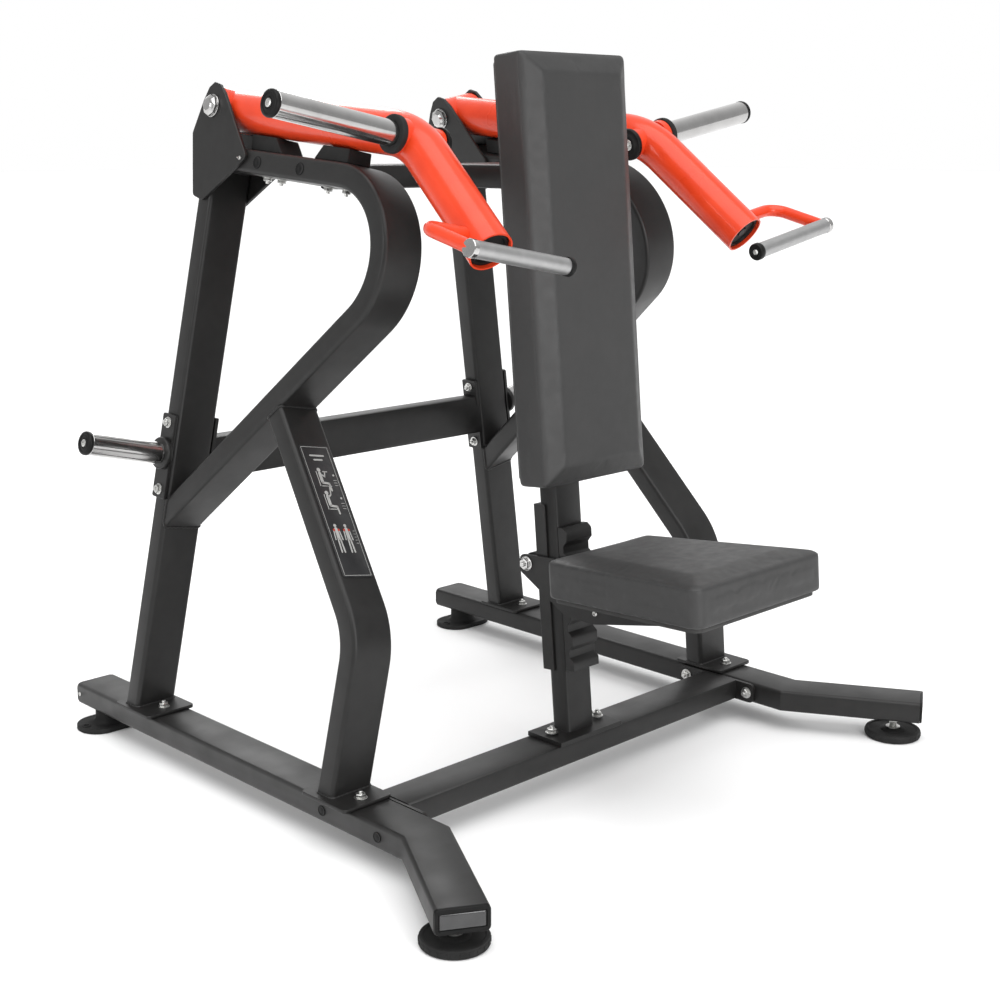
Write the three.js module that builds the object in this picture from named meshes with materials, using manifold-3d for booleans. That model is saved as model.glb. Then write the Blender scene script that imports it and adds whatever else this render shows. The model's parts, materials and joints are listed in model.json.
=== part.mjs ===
// Plate-loaded shoulder press machine: two swinging press arms on leaning side frames,
// a fixed backrest and a seat that slides on a notched post.
// Millimetres, +Z up. The user faces -Y; "left" is the -X side of the machine.
// The origin is on the floor, under the centre of the footprint.
import * as THREE from 'three';
import { mergeVertices } from 'three/addons/utils/BufferGeometryUtils.js';
import Module from 'manifold-3d';

const wasm = await Module();
wasm.setup();

// ---- driving dimensions ----
const GAP = 0.3; // clearance kept between touching pieces
const TUBE_WIDTH = 100; // frame tube 100 x 50 x 3
const TUBE_DEPTH = 50;
const TUBE_RADIUS = 9;
const WALL = 3;
const FOOTPRINT_CENTRE_Y = -664.9; // middle of the footprint, measured from the working origin

const RAIL_X = 579.4; // centre line of each base rail
const RAIL_BOTTOM = 50;
const RAIL_TOP = 100;
const RAIL_REAR_Y = 101.5;
const RAIL_KINK_Y = -1094.5; // where the centre line turns outwards
const FOOT_SPLAY = 30.3;
const FOOT_LENGTH = 310.4; // centre line from the kink to the end
const END_CAP = 6;
const LEVELLING_FOOT_X = 703.5;
const LEVELLING_FOOT_Y = -1306.7;

const SIDE_X = 578.1; // foot of each side frame's leaning plane
const SIDE_Z = 103;
const SIDE_LEAN = 10.42; // each side frame leans inwards
const PLATE_TOP = 108; // top of the bolted base plates

const POST_FOOT_Y = -141.8; // rear post centre line
const POST_SLOPE = -0.0545;
const BEND_Y = -647.4; // centre of the side tube's big bend
const BEND_W = 1050.5;
const BEND_RADIUS = 158;
const BEAM_ANGLE = 4.41; // upper beam falls towards the front
const DIAGONAL_ANGLE = 40.6; // lower run rises towards the front

const LEG_FOOT_Y = -848; // front leg centre line
const LEG_SLOPE = -0.0567;
const LEG_VERTEX = [-866, 320];
const LEG_ANGLE = 50.85;

const PIVOT_Y = -212;
const PIVOT_W = 1347.5;
const AXLE_RADIUS = 12.3;
const BUSH_RADIUS = 17;
const ARM_RADIUS = 44.5;
const ARM_BORE = 41;
const ARM_VERTEX = [-815, 1293];
const ARM_END = [-1067, 1081.5];
const ARM_BEND_RADIUS = 200;
const HORN_Y = -818;
const HORN_W = 1286;
const SLEEVE_RADIUS = 25;
const SLEEVE_BORE = 21;
const GRIP_RADIUS = 16;
const GRIP_Y = -1171;
const GRIP_W = 1073;
const BAR_RADIUS = 13;

const MAST_FOOT_Y = -935.5; // central post, leaning back
const MAST_FOOT_Z = 103;
const MAST_LEAN = 5.33;
const MAST_WIDTH = 80;
const MAST_DEPTH = 50;
const MAST_LENGTH = 1222;
const NOTCH_COUNT = 6;
const NOTCH_PITCH = 57;

const ROLLER_Y = -840.6; // the seat's roller axle, behind the mast
const ROLLER_Z = 471;
const SEAT_REAR_Y = -995; // top rear edge of the seat pad
const SEAT_TOP_Z = 531;
const SEAT_SLOPE = 4.9;
const SEAT_UNDERSIDE = 93.5; // from the seat's origin down to its underside
const SEAT_WALL = 88.5;
const SEAT_RISE = 13;
const BACKREST_WALL = 84;
const BACKREST_RISE = 24;

const rad = THREE.MathUtils.degToRad;

// ---- materials ----
function finish(color, roughness, metalness) {
  return () => new THREE.MeshStandardMaterial({ color, roughness, metalness });
}
const blackPaint = finish(0x37363a, 0.45, 0.3);
const orangePaint = finish(0xee4f2c, 0.3, 0.1);
const chromeSteel = finish(0xd6d7d8, 0.16, 1);
const satinSteel = finish(0xb9bbbd, 0.42, 1);
const blackPlastic = finish(0x161617, 0.5, 0);
const blackRubber = finish(0x1b1b1c, 0.8, 0);
const padLeather = finish(0x4a4a4b, 0.6, 0);
const bronze = finish(0xa3814c, 0.4, 1);

// ---- solids ----
// A closed three.js geometry as a boolean solid.
function solidOf(geometry) {
  const bare = geometry.clone();
  bare.deleteAttribute('normal');
  bare.deleteAttribute('uv');
  const merged = mergeVertices(bare, 1e-4);
  const vertProperties = new Float32Array(merged.attributes.position.array);
  const triVerts = new Uint32Array(merged.index.array);
  return new wasm.Manifold(new wasm.Mesh({ numProp: 3, vertProperties, triVerts }));
}

function geometryOf(solid) {
  const { vertProperties, triVerts } = solid.getMesh();
  const geometry = new THREE.BufferGeometry();
  geometry.setAttribute('position', new THREE.BufferAttribute(vertProperties, 3));
  geometry.setIndex(new THREE.BufferAttribute(triVerts, 1));
  geometry.computeVertexNormals();
  return geometry;
}

function cut(geometry, ...tools) {
  return geometryOf(tools.reduce((rest, tool) => rest.subtract(solidOf(tool)), solidOf(geometry)));
}

function fuse(geometry, ...others) {
  return geometryOf(others.reduce((whole, other) => whole.add(solidOf(other)), solidOf(geometry)));
}

function box([x0, x1], [y0, y1], [z0, z1]) {
  const block = new THREE.BoxGeometry(Math.abs(x1 - x0), y1 - y0, z1 - z0);
  return block.translate((x0 + x1) / 2, (y0 + y1) / 2, (z0 + z1) / 2);
}

// Cylinder from one x to another, or any lathe profile [radius, x] turned about an X line.
function turned(profile, y, z, sides = 16) {
  const points = profile.map(([radius, x]) => new THREE.Vector2(radius, x));
  const lathe = new THREE.LatheGeometry(points, sides);
  lathe.rotateZ(-Math.PI / 2);
  return lathe.translate(0, y, z);
}

function rodX(radius, x0, x1, y, z, sides = 16) {
  const [low, high] = [Math.min(x0, x1), Math.max(x0, x1)];
  return turned([[0, low], [radius, low], [radius, high], [0, high]], y, z, sides);
}

function ringX(outer, inner, x0, x1, y, z, sides = 16) {
  const [low, high] = [Math.min(x0, x1), Math.max(x0, x1)];
  return turned([[inner, low], [outer, low], [outer, high], [inner, high], [inner, low]], y, z, sides);
}

function rodZ(radius, x, y, z0, z1, sides = 16) {
  const rod = new THREE.CylinderGeometry(radius, radius, z1 - z0, sides);
  return rod.rotateX(Math.PI / 2).translate(x, y, (z0 + z1) / 2);
}

// ---- outlines ----
// Closed outline through [x, y, radius] corners, each rounded by its radius.
function outline(corners) {
  const shape = new THREE.Shape();
  corners.forEach(([x, y, radius = 0], index) => {
    const before = corners[(index + corners.length - 1) % corners.length];
    const after = corners[(index + 1) % corners.length];
    const corner = new THREE.Vector2(x, y);
    const back = new THREE.Vector2(before[0], before[1]).sub(corner).normalize();
    const ahead = new THREE.Vector2(after[0], after[1]).sub(corner).normalize();
    const reach = radius / Math.tan(Math.acos(back.dot(ahead)) / 2);
    const start = corner.clone().addScaledVector(back, reach);
    const end = corner.clone().addScaledVector(ahead, reach);
    if (index === 0) shape.moveTo(start.x, start.y);
    else shape.lineTo(start.x, start.y);
    if (radius > 0) shape.quadraticCurveTo(x, y, end.x, end.y);
  });
  shape.closePath();
  return shape;
}

function rectangle(width, height, radius = 0) {
  const [w, h] = [width / 2, height / 2];
  return outline([[-w, -h, radius], [w, -h, radius], [w, h, radius], [-w, h, radius]]);
}

// Rectangular tube section with rounded outer edges and chamfered inner ones.
function tubeSection(width, depth, wall = WALL) {
  const section = rectangle(width, depth, TUBE_RADIUS);
  const [w, h, chamfer] = [width / 2 - wall, depth / 2 - wall, 4];
  const hole = new THREE.Path();
  hole.moveTo(w, h - chamfer);
  hole.lineTo(w - chamfer, h);
  hole.lineTo(chamfer - w, h);
  hole.lineTo(-w, h - chamfer);
  hole.lineTo(-w, chamfer - h);
  hole.lineTo(chamfer - w, -h);
  hole.lineTo(w - chamfer, -h);
  hole.lineTo(w, chamfer - h);
  hole.closePath();
  section.holes.push(hole);
  return section;
}

function roundSection(radius) {
  return new THREE.Shape().absarc(0, 0, radius, 0, 2 * Math.PI, false);
}

// Outline in the (y, z) plane, thickened from one x to another.
function plate(corners, x0, x1, curveSegments = 3) {
  const low = Math.min(x0, x1);
  const options = { depth: Math.abs(x1 - x0), bevelEnabled: false, curveSegments };
  const slab = new THREE.ExtrudeGeometry(outline(corners), options);
  const turn = new THREE.Matrix4().set(0, 0, 1, low, 1, 0, 0, 0, 0, 1, 0, 0, 0, 0, 0, 1);
  return slab.applyMatrix4(turn);
}

// ---- routes ----
// A curve known only at its stations, so that an extrusion has one step between two of them.
class Route extends THREE.Curve {
  constructor(points, tangents) {
    super();
    this.points = points;
    this.tangents = tangents;
    this.steps = points.length - 1;
  }

  getPoint(t) {
    return this.points[Math.round(t * this.steps)].clone();
  }

  getPointAt(t) {
    return this.getPoint(t);
  }

  getTangentAt(t) {
    return this.tangents[Math.round(t * this.steps)].clone();
  }
}

// Straight runs between corners, joined by arcs of the given radius.
function bentRoute(corners, radius, degreesPerStep = 12) {
  const nodes = corners.map((corner) => new THREE.Vector3(...corner));
  const first = nodes[1].clone().sub(nodes[0]).normalize();
  const points = [nodes[0]];
  const tangents = [first];
  for (let i = 1; i < nodes.length - 1; i += 1) {
    const before = nodes[i].clone().sub(nodes[i - 1]).normalize();
    const after = nodes[i + 1].clone().sub(nodes[i]).normalize();
    const turn = before.angleTo(after);
    const inward = after.clone().addScaledVector(before, -Math.cos(turn)).normalize();
    const start = nodes[i].clone().addScaledVector(before, -radius * Math.tan(turn / 2));
    const centre = start.clone().addScaledVector(inward, radius);
    const steps = Math.ceil(THREE.MathUtils.radToDeg(turn) / degreesPerStep);
    for (let k = 0; k <= steps; k += 1) {
      const angle = (turn * k) / steps;
      const point = centre.clone().addScaledVector(inward, -radius * Math.cos(angle));
      points.push(point.addScaledVector(before, radius * Math.sin(angle)));
      const tangent = before.clone().multiplyScalar(Math.cos(angle));
      tangents.push(tangent.addScaledVector(inward, Math.sin(angle)));
    }
  }
  points.push(nodes[nodes.length - 1]);
  tangents.push(nodes[nodes.length - 1].clone().sub(nodes[nodes.length - 2]).normalize());
  return new Route(points, tangents);
}

function sweep(section, route, curveSegments = 2) {
  return new THREE.ExtrudeGeometry(section, { steps: route.steps, extrudePath: route, curveSegments });
}

// ---- frame of a leaning side ----
// In a side frame x runs across the tube, y to the rear and z up the leaning plane.
function sideMatrix(side) {
  const lean = new THREE.Matrix4().makeRotationY(-side * rad(SIDE_LEAN));
  return lean.setPosition(side * SIDE_X, 0, SIDE_Z);
}

// A geometry given in the machine's frame, expressed in a side frame.
function inSide(side, geometry) {
  return geometry.applyMatrix4(sideMatrix(side).invert());
}

// A geometry given in a side frame, expressed in the machine's frame.
function fromSide(side, geometry) {
  return geometry.applyMatrix4(sideMatrix(side));
}

const postY = (w) => POST_FOOT_Y + POST_SLOPE * w;
const legY = (w) => LEG_FOOT_Y + LEG_SLOPE * w;
const beamTop = (y) => {
  const fall = rad(BEAM_ANGLE);
  return BEND_W + (BEND_RADIUS + TUBE_DEPTH / 2) / Math.cos(fall) + Math.tan(fall) * (y - BEND_Y);
};
const armUnderside = (y) => {
  const slope = (PIVOT_W - ARM_VERTEX[1]) / (PIVOT_Y - ARM_VERTEX[0]);
  return PIVOT_W + slope * (y - PIVOT_Y) - ARM_RADIUS * Math.hypot(1, slope);
};

// Everything behind the rear post's front face, less a clearance.
function behindPost() {
  const reach = (w) => postY(w) - TUBE_DEPTH / 2 - GAP;
  const corners = [[reach(0), 0], [reach(1500), 1500], [300, 1500], [300, 0]];
  return plate(corners, -120, 120);
}

// ---- base ----
function baseRail(side) {
  const splay = rad(FOOT_SPLAY);
  const ahead = new THREE.Vector2(Math.sin(splay), -Math.cos(splay));
  const rearEnd = RAIL_REAR_Y - END_CAP;
  const runPast = 60;
  const strip = (half, extra) => {
    const shift = half * Math.tan(splay / 2);
    const foot = FOOT_LENGTH - END_CAP + extra;
    const across = new THREE.Vector2(Math.cos(splay), Math.sin(splay)).multiplyScalar(half);
    const tip = new THREE.Vector2(RAIL_X, RAIL_KINK_Y).addScaledVector(ahead, foot);
    const corners = [
      [RAIL_X - half, rearEnd + extra],
      [RAIL_X - half, RAIL_KINK_Y - shift],
      [tip.x - across.x, tip.y - across.y],
      [tip.x + across.x, tip.y + across.y],
      [RAIL_X + half, RAIL_KINK_Y + shift],
      [RAIL_X + half, rearEnd + extra],
    ];
    return outline(corners.map(([x, y]) => [side * x, y]));
  };
  const [bevel, height] = [8, RAIL_TOP - RAIL_BOTTOM];
  const outer = new THREE.ExtrudeGeometry(strip(TUBE_WIDTH / 2, runPast / 2), {
    depth: height - 2 * bevel,
    bevelThickness: bevel,
    bevelSize: bevel,
    bevelOffset: -bevel,
    bevelSegments: 3,
  }).translate(0, 0, RAIL_BOTTOM + bevel);
  const hollow = new THREE.ExtrudeGeometry(strip(TUBE_WIDTH / 2 - WALL, runPast), {
    depth: height - 2 * WALL,
    bevelEnabled: false,
  }).translate(0, 0, RAIL_BOTTOM + WALL);
  const rearTrim = box([side * RAIL_X - 100, side * RAIL_X + 100], [rearEnd, rearEnd + 200], [0, 150]);
  const trimLength = 200;
  const frontTrim = new THREE.BoxGeometry(300, trimLength, 200);
  frontTrim.translate(0, -(FOOT_LENGTH - END_CAP) - trimLength / 2, RAIL_TOP);
  frontTrim.rotateZ(side * splay).translate(side * RAIL_X, RAIL_KINK_Y, 0);
  return cut(outer, hollow, rearTrim, frontTrim);
}

// Moulded cap over a rail end, facing +Y before it is turned into place.
function railCap() {
  const bevel = 2;
  const section = rectangle(TUBE_WIDTH - GAP, TUBE_DEPTH - GAP, TUBE_RADIUS);
  const cap = new THREE.ExtrudeGeometry(section, {
    depth: END_CAP - GAP - bevel,
    bevelThickness: bevel / 2,
    bevelSize: bevel,
    bevelOffset: -bevel,
    bevelSegments: 1,
    curveSegments: 2,
  });
  return cap.translate(0, 0, bevel / 2 + GAP).rotateX(-Math.PI / 2);
}

function rearFoot(side) {
  const [flangeHeight, flangeX, flangeY, centreY] = [12, 160, 108, 40];
  const flange = new THREE.ExtrudeGeometry(rectangle(flangeX, flangeY, 52), {
    depth: flangeHeight,
    bevelEnabled: false,
    curveSegments: 6,
  });
  const rail = RAIL_BOTTOM - GAP;
  const profile = [[0, 1], [41, 1], [38, 12], [33, 19], [33, rail], [0, rail]];
  const boss = new THREE.LatheGeometry(profile.map(([r, z]) => new THREE.Vector2(r, z)), 16);
  const holes = [-66, 66].map((x) => rodZ(6, x, 0, -1, flangeHeight + 1, 10));
  const foot = cut(fuse(flange, boss.rotateX(Math.PI / 2)), ...holes);
  return foot.translate(side * RAIL_X, centreY, 0);
}

// Round levelling foot on its stem, with the lock nut run up to the rail.
function levellingFoot(side) {
  const rail = RAIL_BOTTOM - GAP;
  const profile = [
    [0, 0], [60, 0], [63.4, 4], [63.4, 15], [60, 18], [24, 20], [9, 26], [9, rail], [0, rail],
  ];
  const disc = new THREE.LatheGeometry(profile.map(([r, z]) => new THREE.Vector2(r, z)), 20);
  const nut = new THREE.CylinderGeometry(14, 14, 10, 6).translate(0, 41, 0);
  return fuse(disc, nut).rotateX(Math.PI / 2).translate(side * LEVELLING_FOOT_X, LEVELLING_FOOT_Y, 0);
}

function frontCrossbar() {
  const [front, rear, inner, thickness] = [-985, -887, 521, 8];
  const route = bentRoute([[-inner - 1, 0, 0], [inner + 1, 0, 0]]);
  const tube = sweep(tubeSection(rear - front, TUBE_DEPTH), route);
  const bar = uprightX(tube).translate(0, (front + rear) / 2, (RAIL_BOTTOM + RAIL_TOP) / 2);
  const ends = [-1, 1].map((side) => {
    const corners = [[-1035, 52, 12], [-815, 52, 12], [-815, 98, 12], [-1035, 98, 12]];
    return plate(corners, side * inner, side * (inner + thickness));
  });
  const drain = rodZ(8, 200, (front + rear) / 2, RAIL_BOTTOM - 5, RAIL_BOTTOM + 10, 10);
  return cut(fuse(bar, ...ends), drain);
}

// A section swept along X starts with its first axis along Z; this lays the first axis along Y.
function uprightX(geometry) {
  return geometry.rotateX(Math.PI / 2);
}

// ---- side frames ----
function basePlate(side, [y0, y1], [x0, x1]) {
  const faces = [side * x0, side * x1].sort((a, b) => a - b);
  return inSide(side, box(faces, [y0, y1], [RAIL_TOP + GAP, PLATE_TOP]));
}

// Everything below the top of a base plate, in a side frame.
function underPlate(side) {
  return inSide(side, box([side * SIDE_X - 200, side * SIDE_X + 200], [-1200, 200], [-200, PLATE_TOP - 1]));
}

function rearPost(side) {
  const topY = postY(beamTop(PIVOT_Y));
  const topW = beamTop(PIVOT_Y);
  const route = bentRoute([[0, postY(-60), -60], [0, topY, topW]]);
  const tube = cut(sweep(tubeSection(TUBE_WIDTH, TUBE_DEPTH), route), underPlate(side));
  const lid = box([-TUBE_WIDTH / 2 + 2, TUBE_WIDTH / 2 - 2], [topY - 23, topY + 23], [topW - 6, topW - 1]);
  const drain = inSide(side, rodZ(12, side * SIDE_X, postY(0), RAIL_TOP - 5, PLATE_TOP + 5, 12));
  return cut(fuse(tube, lid, basePlate(side, [-236, -96], [520, 642])), drain);
}

function sideTube() {
  const bend = (angle, reach) => {
    const [c, s] = [Math.cos(rad(angle)), Math.sin(rad(angle))];
    return [0, BEND_Y + reach * c, BEND_W + reach * s];
  };
  const beamNormal = 90 + BEAM_ANGLE;
  const diagonalNormal = 180 + 90 - DIAGONAL_ANGLE;
  const middle = (beamNormal + diagonalNormal) / 2;
  const halfTurn = rad((diagonalNormal - beamNormal) / 2);
  const vertex = bend(middle, BEND_RADIUS / Math.cos(halfTurn));
  const [beamRun, diagonalRun] = [860, 1150];
  const rearward = (run, climb) => {
    const [y, w] = [vertex[1] + run * Math.cos(climb), vertex[2] + run * Math.sin(climb)];
    return [0, y, w];
  };
  const beamEnd = rearward(beamRun, rad(BEAM_ANGLE));
  const diagonalEnd = rearward(diagonalRun, -rad(DIAGONAL_ANGLE));
  const route = bentRoute([beamEnd, vertex, diagonalEnd], BEND_RADIUS, 11.5);
  return cut(sweep(tubeSection(TUBE_WIDTH, TUBE_DEPTH), route), behindPost());
}

function frontLeg(side) {
  const climb = rad(LEG_ANGLE);
  const run = 620;
  const [vy, vw] = LEG_VERTEX;
  const top = [0, vy + run * Math.cos(climb), vw + run * Math.sin(climb)];
  const route = bentRoute([[0, legY(-60), -60], [0, vy, vw], top], BEND_RADIUS, 9);
  const tube = cut(sweep(tubeSection(TUBE_WIDTH, TUBE_DEPTH), route), underPlate(side));
  const normal = rad(270 - DIAGONAL_ANGLE);
  const reach = BEND_RADIUS + TUBE_DEPTH / 2 + GAP;
  const foot = [BEND_Y + reach * Math.cos(normal), BEND_W + reach * Math.sin(normal)];
  const above = new THREE.BoxGeometry(200, 1600, 400).translate(0, 0, 200);
  above.rotateX(-rad(DIAGONAL_ANGLE)).translate(0, foot[0], foot[1]);
  return fuse(cut(tube, above), basePlate(side, [-935, -795], [525, 645]));
}

// Cheek plate that carries the arm's pivot and joins the beam to the post.
function pivotPlate(side, outward) {
  const corners = [[-205, 1433, 46], [-355, 1239, 12], [-208, 1144, 14], [-172, 1154, 12], [-145, 1290, 10]];
  const faces = [side * outward * (TUBE_WIDTH / 2 + GAP), side * outward * (TUBE_WIDTH / 2 + GAP + 8)];
  const bore = rodX(AXLE_RADIUS + GAP, -80, 80, PIVOT_Y, PIVOT_W, 16);
  return cut(plate(corners, ...faces, 4), bore);
}

// Axle bolt: a plain shank with a twelve-sided domed head on each end.
function pivotBolt() {
  const shank = rodX(AXLE_RADIUS, -62, 62, PIVOT_Y, PIVOT_W, 16);
  const heads = [-1, 1].map((end) => {
    const at = (depth) => end * (TUBE_WIDTH / 2 + 8 + 2 * GAP + depth);
    const profile = [[0, at(0)], [24.5, at(0)], [24.5, at(7)], [19, at(14)], [0, at(17)]];
    return turned(end > 0 ? profile : profile.reverse(), PIVOT_Y, PIVOT_W, 8);
  });
  return fuse(shank, ...heads);
}

function pivotBushing() {
  const half = TUBE_WIDTH / 2 - 1;
  return ringX(BUSH_RADIUS - GAP, AXLE_RADIUS + GAP, -half, half, PIVOT_Y, PIVOT_W, 16);
}

// Wedge between the beam and the arm at rest; slant moves the top of one face along the beam.
function stopBlock(front, rear, frontSlant, rearSlant) {
  const bottom = (y) => [y, beamTop(y) + GAP];
  const top = (y) => [y, armUnderside(y) - GAP];
  return plate([bottom(front), bottom(rear), top(rear + rearSlant), top(front + frontSlant)], -30, 30);
}

function storageBracket(side) {
  const at = (w, half) => [[postY(w) - half, w, 4], [postY(w) + half, w, 4]];
  const corners = [...at(480, 24), ...at(670, 24).reverse()];
  const inner = TUBE_WIDTH / 2 + GAP;
  const backing = plate(corners, side * inner, side * (inner + 8));
  const [y, w] = [postY(581), 581];
  return fuse(backing, rodX(36, side * (inner + 4), side * 71, y, w));
}

function storageSleeve(side) {
  const [inner, outer, end] = [SLEEVE_BORE, SLEEVE_RADIUS, 178];
  return tilted(side, [[inner, 0], [outer, 0], [outer, end], [inner, end], [inner, 0]]);
}

function storageCap(side) {
  return tilted(side, [[0, 178.3], [26, 178.3], [26, 184], [22, 189], [0, 189]]);
}

// A profile turned about the storage horn's line, which rises slightly as it goes out.
function tilted(side, profile) {
  const rise = 4;
  const horn = turned(profile, 0, 0);
  if (side < 0) horn.rotateZ(Math.PI);
  horn.rotateY(-side * rad(rise));
  return horn.translate(side * 73.5, postY(581), 581);
}

// ---- press arms ----
function armRoute(startShift, endShift) {
  const corners = [[PIVOT_Y, PIVOT_W], ARM_VERTEX, ARM_END];
  const [start, vertex, end] = corners.map(([y, w]) => new THREE.Vector3(0, y, w));
  const first = vertex.clone().sub(start).normalize();
  const last = end.clone().sub(vertex).normalize();
  start.addScaledVector(first, startShift);
  end.addScaledVector(last, endShift);
  return bentRoute([start.toArray(), vertex.toArray(), end.toArray()], ARM_BEND_RADIUS, 9);
}

function armTube(side) {
  const body = sweep(roundSection(ARM_RADIUS), armRoute(0, 0), 20);
  const hub = rodX(ARM_RADIUS, -47.5, 47.5, PIVOT_Y, PIVOT_W, 20);
  const hollow = sweep(roundSection(ARM_BORE), armRoute(ARM_RADIUS + 4, 10), 12);
  const bore = rodX(BUSH_RADIUS, -60, 60, PIVOT_Y, PIVOT_W, 16);
  const hornBoss = rodX(23, side * 30, side * 47.5, HORN_Y, HORN_W, 12);
  const innerBoss = turned([[0, 30], [30, 30], [30, 58], [34, 58], [34, 69], [0, 69]], 0, 0, 14);
  if (side > 0) innerBoss.rotateZ(Math.PI);
  innerBoss.translate(0, HORN_Y, HORN_W);
  return fuse(cut(fuse(body, hub), hollow, bore), hornBoss, innerBoss);
}

// Recessed plug in the arm's open lower end.
function armEndPlug() {
  const [vertex, end] = [ARM_VERTEX, ARM_END].map(([y, w]) => new THREE.Vector3(0, y, w));
  const along = end.clone().sub(vertex).normalize();
  const [inner, outer] = [18, 6].map((depth) => end.clone().addScaledVector(along, -depth).toArray());
  const flatBore = ARM_BORE * Math.cos(Math.PI / 12); // the bore is made of flat faces
  return sweep(roundSection(flatBore - GAP), bentRoute([inner, outer]), 12);
}

function plateHorn(side) {
  const [x0, x1] = [48, 340];
  return ringX(SLEEVE_RADIUS, SLEEVE_BORE, side * x0, side * x1, HORN_Y, HORN_W);
}

function hornCollar(side) {
  return ringX(37.5, SLEEVE_RADIUS + GAP, side * 48, side * 62, HORN_Y, HORN_W);
}

function hornCap(side) {
  const profile = [[0, 340.3], [26, 340.3], [26, 347], [22, 352], [0, 352]];
  const cap = turned(profile, 0, 0);
  if (side < 0) cap.rotateZ(Math.PI);
  return cap.translate(0, HORN_Y, HORN_W);
}

// Bent bar from the arm's outer flank to the outer end of the grip.
function handleBar(side) {
  const arm = [-1035, 1107];
  const corners = [[side * 20, ...arm], [side * 148, ...arm], [side * 143, GRIP_Y, GRIP_W]];
  const bar = sweep(roundSection(BAR_RADIUS), bentRoute(corners, 38, 20), 12);
  const [start, end] = [ARM_VERTEX, ARM_END].map(([y, w]) => [0, y, w]);
  const flank = sweep(roundSection(ARM_RADIUS + 2 * GAP), bentRoute([start, end]), 20);
  return cut(bar, flank, rodX(GRIP_RADIUS + 2 * GAP, -250, 250, GRIP_Y, GRIP_W));
}

function handGrip(side) {
  return ringX(GRIP_RADIUS, 11, side * -98, side * 156, GRIP_Y, GRIP_W);
}

function gripCap(side) {
  const profile = [[0, 98.3], [17, 98.3], [17, 103], [14, 106], [0, 106]];
  const cap = turned(profile, 0, 0, 12);
  if (side > 0) cap.rotateZ(Math.PI);
  return cap.translate(0, GRIP_Y, GRIP_W);
}

// ---- crossbeams between the sides ----
// Everything outside the inner faces of both side frames, less a clearance.
function sideWalls() {
  return [-1, 1].map((side) => {
    const inner = side * -(TUBE_WIDTH / 2 + GAP);
    return fromSide(side, box([inner, inner + side * 500], [-1500, 500], [-100, 2000]));
  });
}

function lowerCrossbeam() {
  const [w, height] = [575.5, 98];
  const y = postY(w);
  const z = SIDE_Z + w * Math.cos(rad(SIDE_LEAN)) - 9;
  const route = bentRoute([[-600, 0, 0], [600, 0, 0]]);
  const beam = sweep(tubeSection(height, TUBE_DEPTH), route).translate(0, y, z);
  const plates = [-1, 1].map((side) => {
    const at = (level, half) => [[postY(level) - half, level, 4], [postY(level) + half, level, 4]];
    const corners = [...at(480, 24), ...at(670, 24).reverse()];
    const inner = -(TUBE_WIDTH / 2 + GAP);
    return fromSide(side, plate(corners, side * (inner - 8), side * inner));
  });
  const drain = rodZ(8, 200, y, z - height / 2 - 5, z - height / 2 + 10, 10);
  return cut(fuse(cut(beam, ...sideWalls()), ...plates), drain);
}

function upperCrossbeam() {
  const [front, rear, bottom] = [-580, -480, 1266];
  const z = bottom + TUBE_DEPTH / 2;
  const route = bentRoute([[-500, 0, 0], [500, 0, 0]]);
  const across = sweep(tubeSection(rear - front, TUBE_DEPTH), route);
  const beam = cut(uprightX(across).translate(0, (front + rear) / 2, z), ...sideWalls());
  const strutSection = tubeSection(TUBE_DEPTH, MAST_WIDTH); // first axis upright
  const strut = sweep(strutSection, bentRoute([[0, front + 8, z], [0, -900, z]]));
  const mast = new THREE.BoxGeometry(200, 400, 3000).translate(0, MAST_DEPTH / 2 + GAP - 200, 0);
  mast.rotateX(-rad(MAST_LEAN)).translate(0, MAST_FOOT_Y, MAST_FOOT_Z);
  return fuse(beam, cut(strut, mast));
}

// ---- mast, backrest and seat; the mast frame has y to the rear and z up the leaning post ----
function mast() {
  const section = tubeSection(MAST_DEPTH, MAST_WIDTH); // first axis to the rear
  const tube = sweep(section, bentRoute([[0, 0, 0], [0, 0, MAST_LENGTH]]));
  const foot = new THREE.BoxGeometry(194, 100, 10).translate(0, -4.5, 0).rotateX(rad(MAST_LEAN));
  const below = box([-150, 150], [-100, 100], [-200, 0]).rotateX(rad(MAST_LEAN));
  foot.translate(0, 0, 2.3);
  return fuse(cut(tube, below), foot);
}

// Toothed rack on the mast's front face: six rounded crests with a notch under each.
function seatRack() {
  const [bottom, top, root, valley, crest] = [144, 459, -(MAST_DEPTH / 2 + GAP), -39, -50];
  const corners = [[root, bottom]];
  for (let tooth = 0; tooth < NOTCH_COUNT; tooth += 1) {
    const middle = bottom + 11 + tooth * NOTCH_PITCH;
    corners.push([crest, middle - 10, 2], [crest, middle + 10, 9], [valley, middle + 19, 3]);
    if (tooth < NOTCH_COUNT - 1) corners.push([valley, middle + 35, 4]);
  }
  corners.push([valley, top], [root, top]);
  return plate(corners.reverse(), -MAST_WIDTH / 2, MAST_WIDTH / 2, 2);
}

// Channel that wraps the mast's back, as the track of the seat roller.
function seatChannel() {
  const [bottom, top, side, thickness, web] = [141, 507, MAST_WIDTH / 2 + GAP, 5, 37];
  const shell = box([-side - thickness, side + thickness], [5, web], [bottom, top]);
  return cut(shell, box([-side, side], [-50, MAST_DEPTH / 2 + GAP], [bottom - 10, top + 10]));
}

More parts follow.
